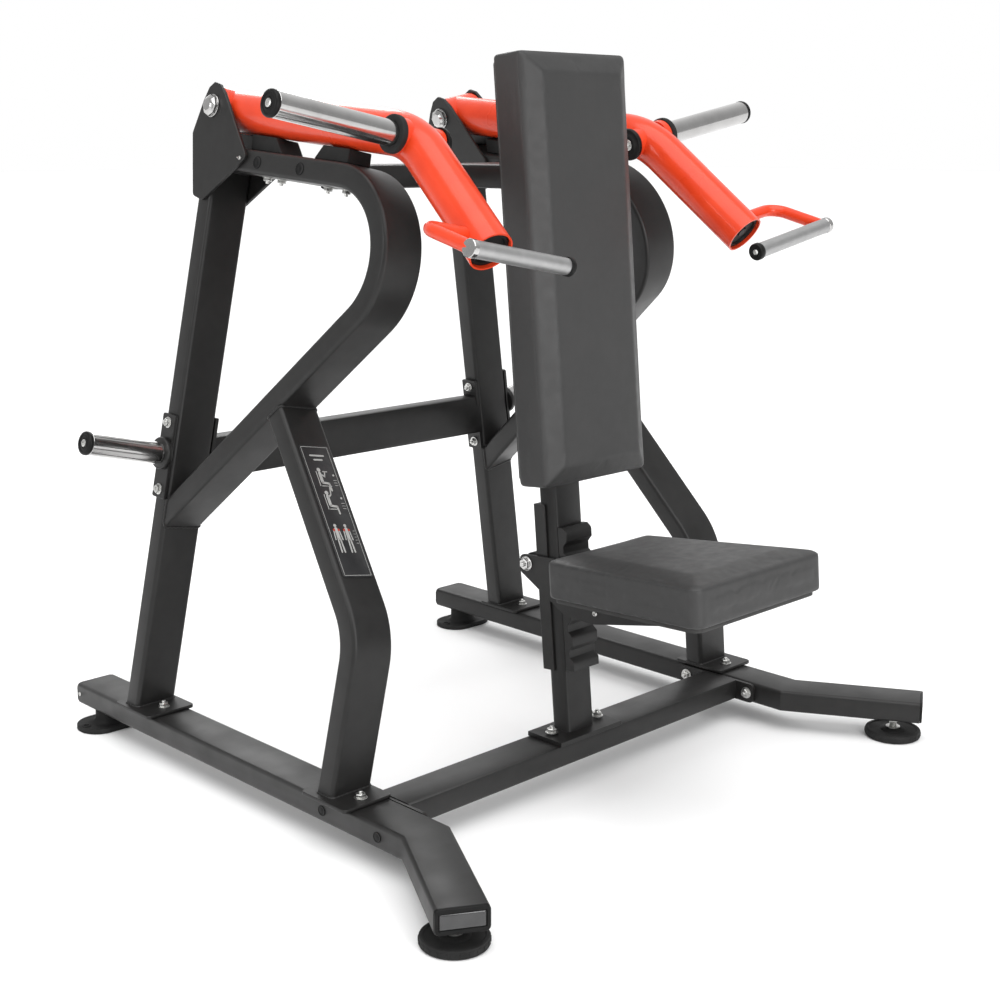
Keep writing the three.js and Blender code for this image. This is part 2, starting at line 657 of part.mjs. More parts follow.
// Cushion on its back: upright walls round an outline, then bevels that rise to a flat crown.
function cushion(corners, wall, rise, bevel) {
  const rim = outline(corners).getPoints(5);
  const bounds = new THREE.Box2().setFromPoints(rim);
  const centre = bounds.getCenter(new THREE.Vector2());
  const size = bounds.getSize(new THREE.Vector2());
  const shrink = new THREE.Vector2(1 - (2 * bevel) / size.x, 1 - (2 * bevel) / size.y);
  const crown = rim.map((point) => point.clone().sub(centre).multiply(shrink).add(centre));
  const at = (ring, height) => ring.map(({ x, y }) => [x, y, height]);
  return geometryOf(wasm.Manifold.hull([...at(rim, 0), ...at(rim, wall), ...at(crown, wall + rise)]));
}

// The back pad stands on the mast's front face.
function backrestPad() {
  const [half, bottom, top, corner] = [157.5, 563, 1433, 7];
  const corners = [
    [-half, bottom, corner], [half, bottom, corner],
    [half, top, corner], [-half, top, corner],
  ];
  const pad = cushion(corners, BACKREST_WALL, BACKREST_RISE, 43);
  return pad.rotateX(Math.PI / 2).translate(0, -(MAST_DEPTH / 2 + GAP), 0);
}

// The seat is wider at the front and rises towards it; its walls' top rear edge is near the origin.
function seatPad() {
  const [rearHalf, frontHalf, length, round] = [157.5, 205, 430.5, 22];
  const corners = [
    [-rearHalf, 0, 12], [-frontHalf, -length, round],
    [frontHalf, -length, round], [rearHalf, 0, 12],
  ];
  return cushion(corners, SEAT_WALL, SEAT_RISE, 56).translate(0, 0, -SEAT_UNDERSIDE);
}

// Roller and axle behind the mast, turned about an X line through the frame's origin.
function seatRoller() {
  return turned([
    [0, -61], [13, -61], [13, -54], [8, -54], [8, -36], [21, -36],
    [21, 36], [8, 36], [8, 54], [13, 54], [13, 61], [0, 61],
  ], 0, 0);
}

// Two side plates round the mast, the catch bar in front of it and the ledge under the pad.
// Its frame has the roller axle at the origin.
function seatCarriage() {
  const corners = [
    [22, 18, 16], [-148, 30, 10], [-150, -40, 4], [-480, -11, 4], [-480, -36, 10],
    [-190, -96, 20], [-110, -92, 16], [22, -20, 16],
  ];
  const [inner, outer] = [47, 53];
  const cheeks = [-1, 1].map((side) => plate(corners, side * inner, side * outer));
  const catchBar = box([-outer + 1, outer - 1], [-126, -112], [-78, -56]).rotateX(-rad(MAST_LEAN));
  const ledge = new THREE.BoxGeometry(150, 322, 6).translate(0, -161, -3);
  ledge.rotateX(-rad(SEAT_SLOPE)).translate(0, -158, -34.6);
  const bores = rodX(8 + 2 * GAP, -80, 80, 0, 0, 12);
  return cut(fuse(cheeks[0], cheeks[1], catchBar, ledge), bores);
}

// ---- assembly ----
const machine = new THREE.Group();
machine.position.y = -FOOTPRINT_CENTRE_Y;

function add(parent, name, geometry, makeMaterial) {
  const mesh = new THREE.Mesh(geometry, makeMaterial());
  mesh.name = name;
  parent.add(mesh);
  return mesh;
}

for (const [label, side] of [['left', -1], ['right', 1]]) {
  add(machine, `${label}_base_rail`, baseRail(side), blackPaint);
  add(machine, `${label}_rear_foot`, rearFoot(side), blackRubber);
  add(machine, `${label}_levelling_foot`, levellingFoot(side), blackRubber);
  const rearCap = add(machine, `${label}_rail_rear_cap`, railCap(), blackPlastic);
  rearCap.position.set(side * RAIL_X, RAIL_REAR_Y - END_CAP, (RAIL_BOTTOM + RAIL_TOP) / 2);
  const footCap = add(machine, `${label}_rail_front_cap`, railCap(), blackPlastic);
  const [splay, reach] = [rad(FOOT_SPLAY), FOOT_LENGTH - END_CAP];
  footCap.position.set(
    side * (RAIL_X + reach * Math.sin(splay)),
    RAIL_KINK_Y - reach * Math.cos(splay),
    (RAIL_BOTTOM + RAIL_TOP) / 2,
  );
  footCap.rotation.z = Math.PI + side * splay;

  const frame = new THREE.Group();
  frame.position.set(side * SIDE_X, 0, SIDE_Z);
  frame.rotation.y = -side * rad(SIDE_LEAN);
  machine.add(frame);
  add(frame, `${label}_rear_post`, rearPost(side), blackPaint);
  add(frame, `${label}_side_tube`, sideTube(), blackPaint);
  add(frame, `${label}_front_leg`, frontLeg(side), blackPaint);
  add(frame, `${label}_outer_pivot_plate`, pivotPlate(side, 1), blackPaint);
  add(frame, `${label}_inner_pivot_plate`, pivotPlate(side, -1), blackPaint);
  add(frame, `${label}_pivot_bolt`, pivotBolt(), chromeSteel);
  add(frame, `${label}_front_stop_block`, stopBlock(-660, -550, 0, -26), blackRubber);
  add(frame, `${label}_rear_stop_block`, stopBlock(-440, -330, 26, 0), blackRubber);
  add(frame, `${label}_storage_bracket`, storageBracket(side), blackPaint);
  add(frame, `${label}_storage_sleeve`, storageSleeve(side), chromeSteel);
  add(frame, `${label}_storage_cap`, storageCap(side), blackPlastic);

  const arm = new THREE.Group(); // swings about the pivot bolt
  frame.add(arm);
  add(arm, `${label}_arm_tube`, armTube(side), orangePaint);
  add(arm, `${label}_arm_end_plug`, armEndPlug(), blackPlastic);
  add(arm, `${label}_pivot_bushing`, pivotBushing(), bronze);
  add(arm, `${label}_plate_horn`, plateHorn(side), chromeSteel);
  add(arm, `${label}_horn_collar`, hornCollar(side), blackRubber);
  add(arm, `${label}_horn_cap`, hornCap(side), blackPlastic);
  add(arm, `${label}_handle_bar`, handleBar(side), orangePaint);
  add(arm, `${label}_hand_grip`, handGrip(side), satinSteel);
  add(arm, `${label}_grip_cap`, gripCap(side), blackPlastic);
}

add(machine, 'front_crossbar', frontCrossbar(), blackPaint);
add(machine, 'lower_crossbeam', lowerCrossbeam(), blackPaint);
add(machine, 'upper_crossbeam', upperCrossbeam(), blackPaint);

const mastFrame = new THREE.Group();
mastFrame.position.set(0, MAST_FOOT_Y, MAST_FOOT_Z);
mastFrame.rotation.x = -rad(MAST_LEAN);
machine.add(mastFrame);
add(mastFrame, 'central_post', mast(), blackPaint);
add(mastFrame, 'seat_rack', seatRack(), blackPaint);
add(mastFrame, 'seat_guide_channel', seatChannel(), blackPaint);
add(mastFrame, 'backrest_pad', backrestPad(), padLeather);

add(machine, 'seat_roller', seatRoller(), chromeSteel).position.set(0, ROLLER_Y, ROLLER_Z);
add(machine, 'seat_carriage', seatCarriage(), blackPaint).position.set(0, ROLLER_Y, ROLLER_Z);
const seat = add(machine, 'seat_pad', seatPad(), padLeather);
seat.position.set(0, SEAT_REAR_Y, SEAT_TOP_Z);
seat.rotation.x = -rad(SEAT_SLOPE);

export default machine;
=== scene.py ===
"""Looks of the plate-loaded shoulder press machine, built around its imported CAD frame."""
import json
import math
import random

import bmesh
import bpy
from mathutils import Matrix, Vector
from mathutils.bvhtree import BVHTree

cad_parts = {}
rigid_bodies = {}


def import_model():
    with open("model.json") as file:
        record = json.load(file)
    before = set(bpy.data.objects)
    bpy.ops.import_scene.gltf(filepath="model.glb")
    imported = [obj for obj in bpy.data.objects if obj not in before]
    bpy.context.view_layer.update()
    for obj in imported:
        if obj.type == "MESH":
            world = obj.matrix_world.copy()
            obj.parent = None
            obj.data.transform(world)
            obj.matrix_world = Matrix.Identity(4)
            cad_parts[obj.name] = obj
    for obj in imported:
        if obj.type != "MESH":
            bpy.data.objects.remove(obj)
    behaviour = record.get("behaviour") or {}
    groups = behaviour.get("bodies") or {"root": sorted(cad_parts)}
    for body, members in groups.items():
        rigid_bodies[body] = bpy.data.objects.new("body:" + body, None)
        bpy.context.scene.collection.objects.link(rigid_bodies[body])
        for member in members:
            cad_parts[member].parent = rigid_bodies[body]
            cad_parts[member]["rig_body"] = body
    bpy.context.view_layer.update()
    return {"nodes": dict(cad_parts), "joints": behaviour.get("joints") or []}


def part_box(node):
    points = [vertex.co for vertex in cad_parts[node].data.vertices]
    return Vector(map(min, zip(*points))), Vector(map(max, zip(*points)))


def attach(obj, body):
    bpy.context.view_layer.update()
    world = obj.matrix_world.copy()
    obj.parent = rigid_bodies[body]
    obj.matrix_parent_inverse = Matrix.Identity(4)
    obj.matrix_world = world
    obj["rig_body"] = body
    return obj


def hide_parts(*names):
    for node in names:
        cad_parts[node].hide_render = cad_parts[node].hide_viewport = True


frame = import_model()
JOINTS = {joint["name"]: joint for joint in frame["joints"]}
UP = Vector((0, 0, 1))
REAR = Vector((0, 1, 0))
ACROSS = Vector((1, 0, 0))

# ---- driving dimensions, in metres ----
TUBE = (0.100, 0.050)  # frame tube, width and depth
TUBE_RADIUS = 0.0095
PLATE = 0.0077  # base plate thickness
PIVOT_Y, PIVOT_W = -0.212, 1.3475  # pivot in a side frame's plane
POST_FOOT_Y, POST_SLOPE = -0.1418, -0.0545
LEG_FOOT_Y, LEG_SLOPE = -0.848, -0.0567
LEG_VERTEX = (-0.866, 0.320)
LEG_ANGLE = math.radians(50.85)
BEND_CENTRE = (-0.6474, 1.0505)
BEND_RADIUS = 0.158
BEAM_ANGLE = math.radians(4.41)
DIAGONAL_ANGLE = math.radians(40.6)
ARM_RADIUS = 0.0445
ARM_VERTEX = (-0.815, 1.293)
ARM_END = (-1.067, 1.0815)
ARM_BEND_RADIUS = 0.200
HORN = (-0.818, 1.286)
GRIP = (-1.171, 1.073)
ROW_SHIFT = JOINTS["left_arm_press"]["pos_m"][1] - PIVOT_Y  # from a side frame's y to the row's y
SIDES = (("left", -1), ("right", 1))


class SideFrame:
    """A leaning side of the machine: off is outwards, y to the rear, w up the plane."""

    def __init__(self, label, sign):
        joint = JOINTS[f"{label}_arm_press"]
        self.label = label
        self.sign = sign
        self.pivot = Vector(joint["pos_m"])
        self.out = (Vector(joint["axis"]) * -sign).normalized()
        self.up = Vector((-self.out.z * sign, 0, self.out.x * sign))

    def at(self, off, y, w):
        return self.pivot + self.out * off + REAR * (y - PIVOT_Y) + self.up * (w - PIVOT_W)

    def along(self, off, y, w):
        return (self.out * off + REAR * y + self.up * w).normalized()


# ---- materials ----
def tone(color):
    """A colour's three values, from three values or from one grey level."""
    return color if isinstance(color, tuple) else (color, color, color)


class Shader:
    """A principled material and the few node patterns that the finishes share."""

    def __init__(self, name, color, roughness, metallic=0.0, **sockets):
        self.material = bpy.data.materials.new(name)
        self.material.use_nodes = True
        self.tree = self.material.node_tree
        self.surface = self.tree.nodes["Principled BSDF"]
        self.surface.inputs["Base Color"].default_value = (*tone(color), 1)
        self.surface.inputs["Roughness"].default_value = roughness
        self.surface.inputs["Metallic"].default_value = metallic
        for socket, value in sockets.items():
            self.surface.inputs[socket.replace("_", " ")].default_value = value
        self.place = self.tree.nodes.new("ShaderNodeTexCoord").outputs["Object"]
        self.normal = None

    def node(self, kind, source, target, **values):
        """Adds a node, sets its inputs and links one of them to a source."""
        node = self.tree.nodes.new(f"ShaderNode{kind}")
        for socket, value in values.items():
            node.inputs[socket.replace("_", " ")].default_value = value
        self.tree.links.new(source, node.inputs[target])
        return node

    def noise(self, scale, detail=3.0, stretch=None):
        place = self.place
        if stretch:
            place = self.node("Mapping", place, "Vector", Scale=stretch).outputs["Vector"]
        return self.node("TexNoise", place, "Vector", Scale=scale, Detail=detail).outputs["Fac"]

    def cells(self, scale, feature="F1"):
        node = self.node("TexVoronoi", self.place, "Vector", Scale=scale)
        node.feature = feature
        return node.outputs["Distance"]

    def vary_color(self, value, dark, light):
        node = self.node("ValToRGB", value, "Fac")
        for element, position, color in zip(node.color_ramp.elements, (0.3, 0.7), (dark, light)):
            element.position = position
            element.color = (*tone(color), 1)
        self.tree.links.new(node.outputs["Color"], self.surface.inputs["Base Color"])

    def vary_roughness(self, value, low, high):
        node = self.node("MapRange", value, "Value", From_Min=0.3, From_Max=0.7, To_Min=low, To_Max=high)
        self.tree.links.new(node.outputs["Result"], self.surface.inputs["Roughness"])

    def bump(self, height, strength, distance):
        node = self.node("Bump", height, "Height", Strength=strength, Distance=distance)
        if self.normal:
            self.tree.links.new(self.normal, node.inputs["Normal"])
        self.normal = node.outputs["Normal"]
        self.tree.links.new(self.normal, self.surface.inputs["Normal"])


def finish(name, color, roughness, metallic=0.0, tint=None, wear=None, grain=(), **sockets):
    """A material with a mottled tint, patches of wear and bumps, each over a pattern.

    tint is (pattern, dark, light), wear is (pattern, low, high) and grain holds
    (pattern, strength, distance); a pattern is what noise() takes, or cells() after a name.
    """
    shader = Shader(name, color, roughness, metallic, **sockets)

    def drawn(pattern):
        return shader.cells(*pattern[1:]) if pattern[0] == "cells" else shader.noise(*pattern)

    if tint:
        shader.vary_color(drawn(tint[0]), *tint[1:])
    if wear:
        shader.vary_roughness(drawn(wear[0]), *wear[1:])
    for pattern, strength, distance in grain:
        shader.bump(drawn(pattern), strength, distance)
    return shader.material


def sign_face(name, color):
    """Printed film of the placard."""
    dark, light = (tuple(value * gain for value in color) for gain in (0.93, 1.05))
    return finish(name, color, 0.4, tint=((40, 2), dark, light),
                  wear=((70, 3), 0.34, 0.48), grain=(((500, 2), 0.06, 0.0002),))


# satin graphite powder coat: orange peel, faint speckle and hand-worn patches
FRAME_PAINT = finish(
    "frame_paint", (0.011, 0.0107, 0.0105), 0.38, Specular_IOR_Level=0.36,
    tint=((38, 5), (0.0095, 0.0092, 0.0090), (0.0128, 0.0124, 0.0121)), wear=((11, 4), 0.37, 0.49),
    grain=(((420, 2), 0.10, 0.0004), (("cells", 2600), 0.05, 0.0002)))
# glossy orange-red coat with a light orange peel under a clear layer
ARM_PAINT = finish(
    "arm_paint", (0.68, 0.048, 0.012), 0.36, Specular_IOR_Level=0.3, Coat_Weight=0.25, Coat_Roughness=0.12,
    tint=((20, 4), (0.65, 0.043, 0.010), (0.72, 0.054, 0.014)), wear=((9, 3), 0.26, 0.36),
    grain=(((260, 2), 0.06, 0.0004),))
# bright plated steel with fine turning marks and a few handling smudges
CHROME = finish(
    "chrome", (0.52, 0.515, 0.51), 0.16, 1.0, tint=((14, 3), (0.47, 0.465, 0.46), (0.57, 0.565, 0.56)),
    wear=((30, 5), 0.12, 0.22), grain=(((60, 2, (30, 1, 1)), 0.03, 0.0002),))
# finely knurled satin steel of the hand grips
SATIN = finish("satin_steel", 0.42, 0.42, 1.0, tint=((60, 4), 0.40, 0.45), wear=((24, 3), 0.40, 0.46),
               grain=((("cells", 900), 0.35, 0.0003),))
# zinc-plated bolts and nuts
ZINC = finish("zinc", (0.60, 0.60, 0.59), 0.3, 1.0, tint=((160, 3), (0.52, 0.52, 0.51), (0.70, 0.70, 0.68)),
              wear=((90, 3), 0.24, 0.42), grain=(((700, 2), 0.08, 0.0002),))
BRONZE = finish("bronze", (0.44, 0.28, 0.10), 0.35, 1.0, wear=((80, 3), 0.28, 0.45),
                grain=(((500, 2), 0.1, 0.0002),))
# moulded black plastic with a fine spark texture
PLASTIC = finish("plastic", 0.006, 0.5, Specular_IOR_Level=0.16, tint=((50, 3), 0.005, 0.008),
                 wear=((40, 3), 0.36, 0.50), grain=(((1500, 2), 0.18, 0.0002),))
# polished grey-black face of the front end caps
GLOSS = finish("gloss_plastic", 0.03, 0.16, Coat_Weight=0.4, Coat_Roughness=0.05,
               tint=((30, 3), (0.025, 0.025, 0.026), (0.036, 0.036, 0.037)), grain=(((300, 2), 0.03, 0.0002),))
# dull black rubber with a dusty bloom
RUBBER = finish("rubber", 0.010, 0.7, Specular_IOR_Level=0.3, tint=((34, 5), 0.008, (0.014, 0.0138, 0.0135)),
                wear=((20, 3), 0.62, 0.82), grain=(((900, 3), 0.2, 0.0003),))
# charcoal upholstery vinyl: pebble grain, fine creases and a slight sheen
LEATHER = finish("leatherette", 0.030, 0.46, Specular_IOR_Level=0.45,
                 tint=((16, 5), 0.0285, (0.0320, 0.0318, 0.0316)), wear=((45, 4), 0.46, 0.56),
                 grain=(((55, 3), 0.03, 0.0010), (("cells", 620, "SMOOTH_F1"), 0.30, 0.0004)))
THREAD = finish("thread", (0.030, 0.030, 0.031), 0.7, grain=(((900, 2), 0.3, 0.0003),),
                tint=((400, 2), (0.022, 0.022, 0.023), (0.042, 0.042, 0.043)))
# painted plywood behind the pads, with its layers showing
BOARD = finish("board", 0.02, 0.6, tint=((25, 4, (1, 1, 8)), 0.016, (0.03, 0.029, 0.028)),
               grain=(((120, 4), 0.2, 0.0004),))
SIGN_DARK = sign_face("sign_dark", (0.012, 0.012, 0.013))
SIGN_LIGHT = sign_face("sign_light", (0.34, 0.34, 0.33))
SIGN_RED = sign_face("sign_red", (0.36, 0.03, 0.015))


# ---- mesh helpers ----
def linked(name, data):
    """Puts a data block in the scene as an object."""
    piece = bpy.data.objects.new(name, data)
    bpy.context.scene.collection.objects.link(piece)
    return piece


def mesh_piece(name, mesh_data, material):
    """Turns a bmesh into a scene object of one material."""
    mesh = bpy.data.meshes.new(name)
    bmesh.ops.recalc_face_normals(mesh_data, faces=mesh_data.faces)
    mesh_data.to_mesh(mesh)
    mesh_data.free()
    mesh.materials.append(material)
    return linked(name, mesh)


def finish_mesh(name, mesh_data, material, body, replaces=(), sharp=40):
    """Names, shades and links a bmesh, sets what it rides on and hides the CAD parts it replaces."""
    piece = mesh_piece(name, mesh_data, material)
    shade(piece, sharp)
    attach(piece, body)
    if replaces:
        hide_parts(*replaces)
    return piece


def turned(name, profile, origin, axis, count, material, body, replaces=(), sharp=40):
    """A finished piece of one turned profile."""
    mesh_data = bmesh.new()
    lathe(mesh_data, profile, origin, axis, count)
    return finish_mesh(name, mesh_data, material, body, replaces, sharp)


def shade(piece, sharp):
    piece.data.polygons.foreach_set("use_smooth", [True] * len(piece.data.polygons))
    piece.data.set_sharp_from_angle(angle=math.radians(sharp))


def frame_of(direction, hint=UP):
    """Two unit vectors square to a direction, the first as near the hint as it can be."""
    first = hint - direction * hint.dot(direction)
    if first.length < 1e-4:
        first = ACROSS - direction * ACROSS.dot(direction)
    first.normalize()
    return first, direction.cross(first)


def add_rings(mesh_data, rings, closed=False, caps=True):
    """Skins a list of vertex loops of equal length."""
    loops = [[mesh_data.verts.new(point) for point in ring] for ring in rings]
    count = len(loops[0])
    pairs = list(zip(loops, loops[1:]))
    if closed:
        pairs.append((loops[-1], loops[0]))
    for near, far in pairs:
        for i in range(count):
            j = (i + 1) % count
            mesh_data.faces.new((near[i], near[j], far[j], far[i]))
    if caps and not closed:
        mesh_data.faces.new(list(reversed(loops[0])))
        mesh_data.faces.new(loops[-1])
    return loops


def rounded_rectangle(width, depth, radius, steps=5):
    points = []
    for quarter, (sx, sy) in enumerate(((1, 1), (-1, 1), (-1, -1), (1, -1))):
        for step in range(steps + 1):
            angle = math.pi / 2 * (quarter + step / steps)
            x = sx * (width / 2 - radius) + radius * math.cos(angle)
            y = sy * (depth / 2 - radius) + radius * math.sin(angle)
            points.append((x, y))
    return points


def circle(radius, count=40):
    return [(radius * math.cos(2 * math.pi * i / count), radius * math.sin(2 * math.pi * i / count))
            for i in range(count)]


def bent_route(corners, radius, degrees=3.0):
    """Stations (point, tangent) of straight runs joined by arcs."""
    first = (corners[1] - corners[0]).normalized()
    stations = [(corners[0], first)]
    for before, corner, after in zip(corners, corners[1:], corners[2:]):
        inward_run = (corner - before).normalized()
        outward_run = (after - corner).normalized()
        turn = inward_run.angle(outward_run)
        inward = (outward_run - inward_run * math.cos(turn)).normalized()
        start = corner - inward_run * radius * math.tan(turn / 2)
        centre = start + inward * radius
        steps = math.ceil(math.degrees(turn) / degrees)
        for step in range(steps + 1):
            angle = turn * step / steps
            point = centre - inward * radius * math.cos(angle) + inward_run * radius * math.sin(angle)
            stations.append((point, inward_run * math.cos(angle) + inward * math.sin(angle)))
    stations.append((corners[-1], (corners[-1] - corners[-2]).normalized()))
    return stations


def sweep(mesh_data, section, stations, across=None, chamfer=0.0, open_end=False):
    """Carries a section along a route; across is its first axis, or is carried along."""
    first, _ = frame_of(stations[0][1], across or UP)
    rings = []
    for point, tangent in stations:
        if across:
            first = (across - tangent * across.dot(tangent)).normalized()
        else:
            first = (first - tangent * first.dot(tangent)).normalized()
        second = tangent.cross(first)
        rings.append([point + first * a + second * b for a, b in section])
    if chamfer:
        rings = soften_end(rings, stations, chamfer)
    if open_end:
        end, tangent = stations[-1]
        inner = [point + (end - point).normalized() * 0.0035 for point in rings[-1]]
        rings += [inner, [point - tangent * 0.030 for point in inner]]
    return add_rings(mesh_data, rings)


def soften_end(rings, stations, chamfer):
    """Draws both end loops in a little, for a broken edge."""
    def drawn(ring, centre, shift):
        return [point + (centre - point).normalized() * chamfer + shift for point in ring]

    start, end = stations[0], stations[-1]
    inner_start = [point + start[1] * chamfer for point in rings[0]]
    inner_end = [point - end[1] * chamfer for point in rings[-1]]
    zero = Vector((0, 0, 0))
    return ([drawn(rings[0], start[0], zero), inner_start] + rings[1:-1]
            + [inner_end, drawn(rings[-1], end[0], zero)])


def lathe(mesh_data, profile, origin, axis, count=40, hint=UP):
    """Turns (radius, distance) points about an axis; a zero radius closes the end."""
    first, second = frame_of(axis, hint)
    loops = []
    for radius, distance in profile:
        centre = origin + axis * distance
        if radius == 0:
            loops.append([mesh_data.verts.new(centre)])
            continue
        loops.append([mesh_data.verts.new(centre + first * a + second * b) for a, b in circle(radius, count)])
    for near, far in zip(loops, loops[1:]):
        for i in range(count):
            j = (i + 1) % count
            face = [near[i % len(near)], near[j % len(near)], far[j % len(far)], far[i % len(far)]]
            mesh_data.faces.new(list(dict.fromkeys(face)))


def cut_away(mesh_data, point, normal):
    """Removes what lies on a plane's normal side and closes the cut."""
    geometry = mesh_data.verts[:] + mesh_data.edges[:] + mesh_data.faces[:]
    bmesh.ops.bisect_plane(mesh_data, geom=geometry, plane_co=point, plane_no=normal, clear_outer=True)
    open_edges = [edge for edge in mesh_data.edges if edge.is_boundary]
    if open_edges:
        bmesh.ops.holes_fill(mesh_data, edges=open_edges)


def slab(mesh_data, outline, origin, first, second, thickness, chamfer=0.001):
    """A plate: an outline in two axes, thickened along their normal, with broken edges."""
    normal = first.cross(second).normalized()
    count = len(outline)
    centre = (sum(a for a, _ in outline) / count, sum(b for _, b in outline) / count)
    rings = []
    for inset, height in ((chamfer, 0), (0, chamfer), (0, thickness - chamfer), (chamfer, thickness)):
        ring = []
        for a, b in outline:
            reach = math.hypot(a - centre[0], b - centre[1]) or 1
            shrink = 1 - inset / reach
            a_in = centre[0] + (a - centre[0]) * shrink
            b_in = centre[1] + (b - centre[1]) * shrink
            ring.append(origin + first * a_in + second * b_in + normal * height)
        rings.append(ring)
    add_rings(mesh_data, rings)


def rounded_outline(corners, steps=5):
    """Points of a closed outline through (a, b, radius) corners, rounded by arcs."""
    points = []
    for index, (a, b, radius) in enumerate(corners):
        corner = Vector((a, b))
        before = (Vector(corners[index - 1][:2]) - corner).normalized()
        after = (Vector(corners[(index + 1) % len(corners)][:2]) - corner).normalized()
        half = math.acos(max(-1, min(1, before.dot(after)))) / 2
        if radius == 0:
            points.append(tuple(corner))
            continue
        centre = corner + (before + after).normalized() * radius / math.sin(half)
        start = corner + before * radius / math.tan(half) - centre
        end = corner + after * radius / math.tan(half) - centre
        angle = math.atan2(start.x * end.y - start.y * end.x, start.dot(end))
        for step in range(steps + 1):
            turn = Matrix.Rotation(angle * step / steps, 2)
            points.append(tuple(centre + turn @ start))
    return points


def refined(node, bevel, material=FRAME_PAINT, sharp=32):
    """A CAD node's own shape with its flat faces rejoined and its edges rounded."""
    source = frame["nodes"][node]
    mesh_data = bmesh.new()
    mesh_data.from_mesh(source.data)
    bmesh.ops.remove_doubles(mesh_data, verts=mesh_data.verts, dist=2e-5)
    bmesh.ops.dissolve_limit(mesh_data, angle_limit=math.radians(1.0), verts=mesh_data.verts,
                             edges=mesh_data.edges)
    piece = finish_mesh(f"{node}_finished", mesh_data, material, source["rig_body"], (node,), sharp)
    modifier = piece.modifiers.new("edges", "BEVEL")
    modifier.width = bevel
    modifier.segments = 2
    modifier.limit_method = "ANGLE"
    modifier.angle_limit = math.radians(sharp)
    modifier.harden_normals = False
    return piece


# ---- fasteners and small trim ----
def hex_bolt(name, origin, axis, body, size, material=ZINC, washer=True):
    """Hex head on a washer: size is the head's corner radius, axis points out of the work."""
    mesh_data = bmesh.new()
    base = 0.0
    if washer:
        lathe(mesh_data, [(0, 0), (size * 1.25, 0), (size * 1.3, 0.0005), (size * 1.3, 0.0016),
                          (size * 1.2, 0.002), (0, 0.002)], origin, axis, 28)
        base = 0.0021
    head = size * 0.72
    lathe(mesh_data, [(0, base), (size * 0.96, base), (size, base + 0.0006), (size, base + head - 0.001),
                      (size * 0.9, base + head), (0, base + head)], origin, axis, 6)
    lathe(mesh_data, [(0, base + head), (size * 0.42, base + head), (size * 0.42, base + head + 0.004),
                      (size * 0.34, base + head + 0.005), (0, base + head + 0.005)], origin, axis, 20)
    return finish_mesh(name, mesh_data, material, body, sharp=35)


def socket_bolt(name, origin, axis, body, radius):
    """Button-head screw with a hexagon socket."""
    mesh_data = bmesh.new()
    height = radius * 0.55
    lathe(mesh_data, [(0, 0), (radius * 0.97, 0), (radius, 0.0004), (radius * 0.96, height * 0.45),
                      (radius * 0.75, height * 0.88), (radius * 0.5, height), (radius * 0.42, height),
                      (radius * 0.40, height * 0.35), (0, height * 0.3)], origin, axis, 30)
    return finish_mesh(name, mesh_data, ZINC, body, sharp=35)


def hole_plug(name, origin, axis, body, radius=0.011):
    """Flush plastic plug with a domed centre and a moulded ring."""
    return turned(name, [(0, -0.0004), (radius, -0.0004), (radius, 0.0008), (radius * 0.92, 0.0014),
                         (radius * 0.72, 0.0010), (radius * 0.66, 0.0006), (radius * 0.3, 0.0012),
                         (0, 0.0014)], origin, axis, 32, PLASTIC, body, sharp=35)


def weld_bead(name, loop, body, seed, radius=0.0032):
    """A rippled bead along a closed loop of points."""
    rng = random.Random(seed)
    mesh_data = bmesh.new()
    spaced = resample(loop, 0.0035)
    rings = []
    count = len(spaced)
    for i, point in enumerate(spaced):
        tangent = (spaced[(i + 1) % count] - spaced[i - 1]).normalized()
        first, second = frame_of(tangent, UP if abs(tangent.z) < 0.8 else ACROSS)
        size = radius * (0.9 + 0.16 * math.sin(i * 2.1) + rng.uniform(-0.06, 0.06))
        rings.append([point + first * a + second * b for a, b in circle(size, 8)])
    add_rings(mesh_data, rings, closed=True)
    return finish_mesh(name, mesh_data, FRAME_PAINT, body, sharp=80)


def resample(loop, spacing):
    """Evenly spaced points along a closed polyline."""
    lengths = [(loop[(i + 1) % len(loop)] - point).length for i, point in enumerate(loop)]
    total = sum(lengths)
    count = max(8, round(total / spacing))
    points, index, passed = [], 0, 0.0
    for step in range(count):
        target = total * step / count
        while passed + lengths[index] < target:
            passed += lengths[index]
            index += 1
        share = (target - passed) / lengths[index]
        points.append(loop[index].lerp(loop[(index + 1) % len(loop)], share))
    return points


def slice_loop(section, start, along, across, plane_point, plane_normal):
    """Where a prism's long edges meet a plane: the loop that a weld follows."""
    first = (across - along * across.dot(along)).normalized()
    second = along.cross(first)
    loop = []
    for a, b in section:
        point = start + first * a + second * b
        reach = (plane_point - point).dot(plane_normal) / along.dot(plane_normal)
        loop.append(point + along * reach)
    return loop


# ---- base ----
def post_y(w):
    return POST_FOOT_Y + POST_SLOPE * w


def leg_y(w):
    return LEG_FOOT_Y + LEG_SLOPE * w


def beam_top(y):
    rise = BEND_CENTRE[1] + (BEND_RADIUS + TUBE[1] / 2) / math.cos(BEAM_ANGLE)
    return rise + math.tan(BEAM_ANGLE) * (y - BEND_CENTRE[0])


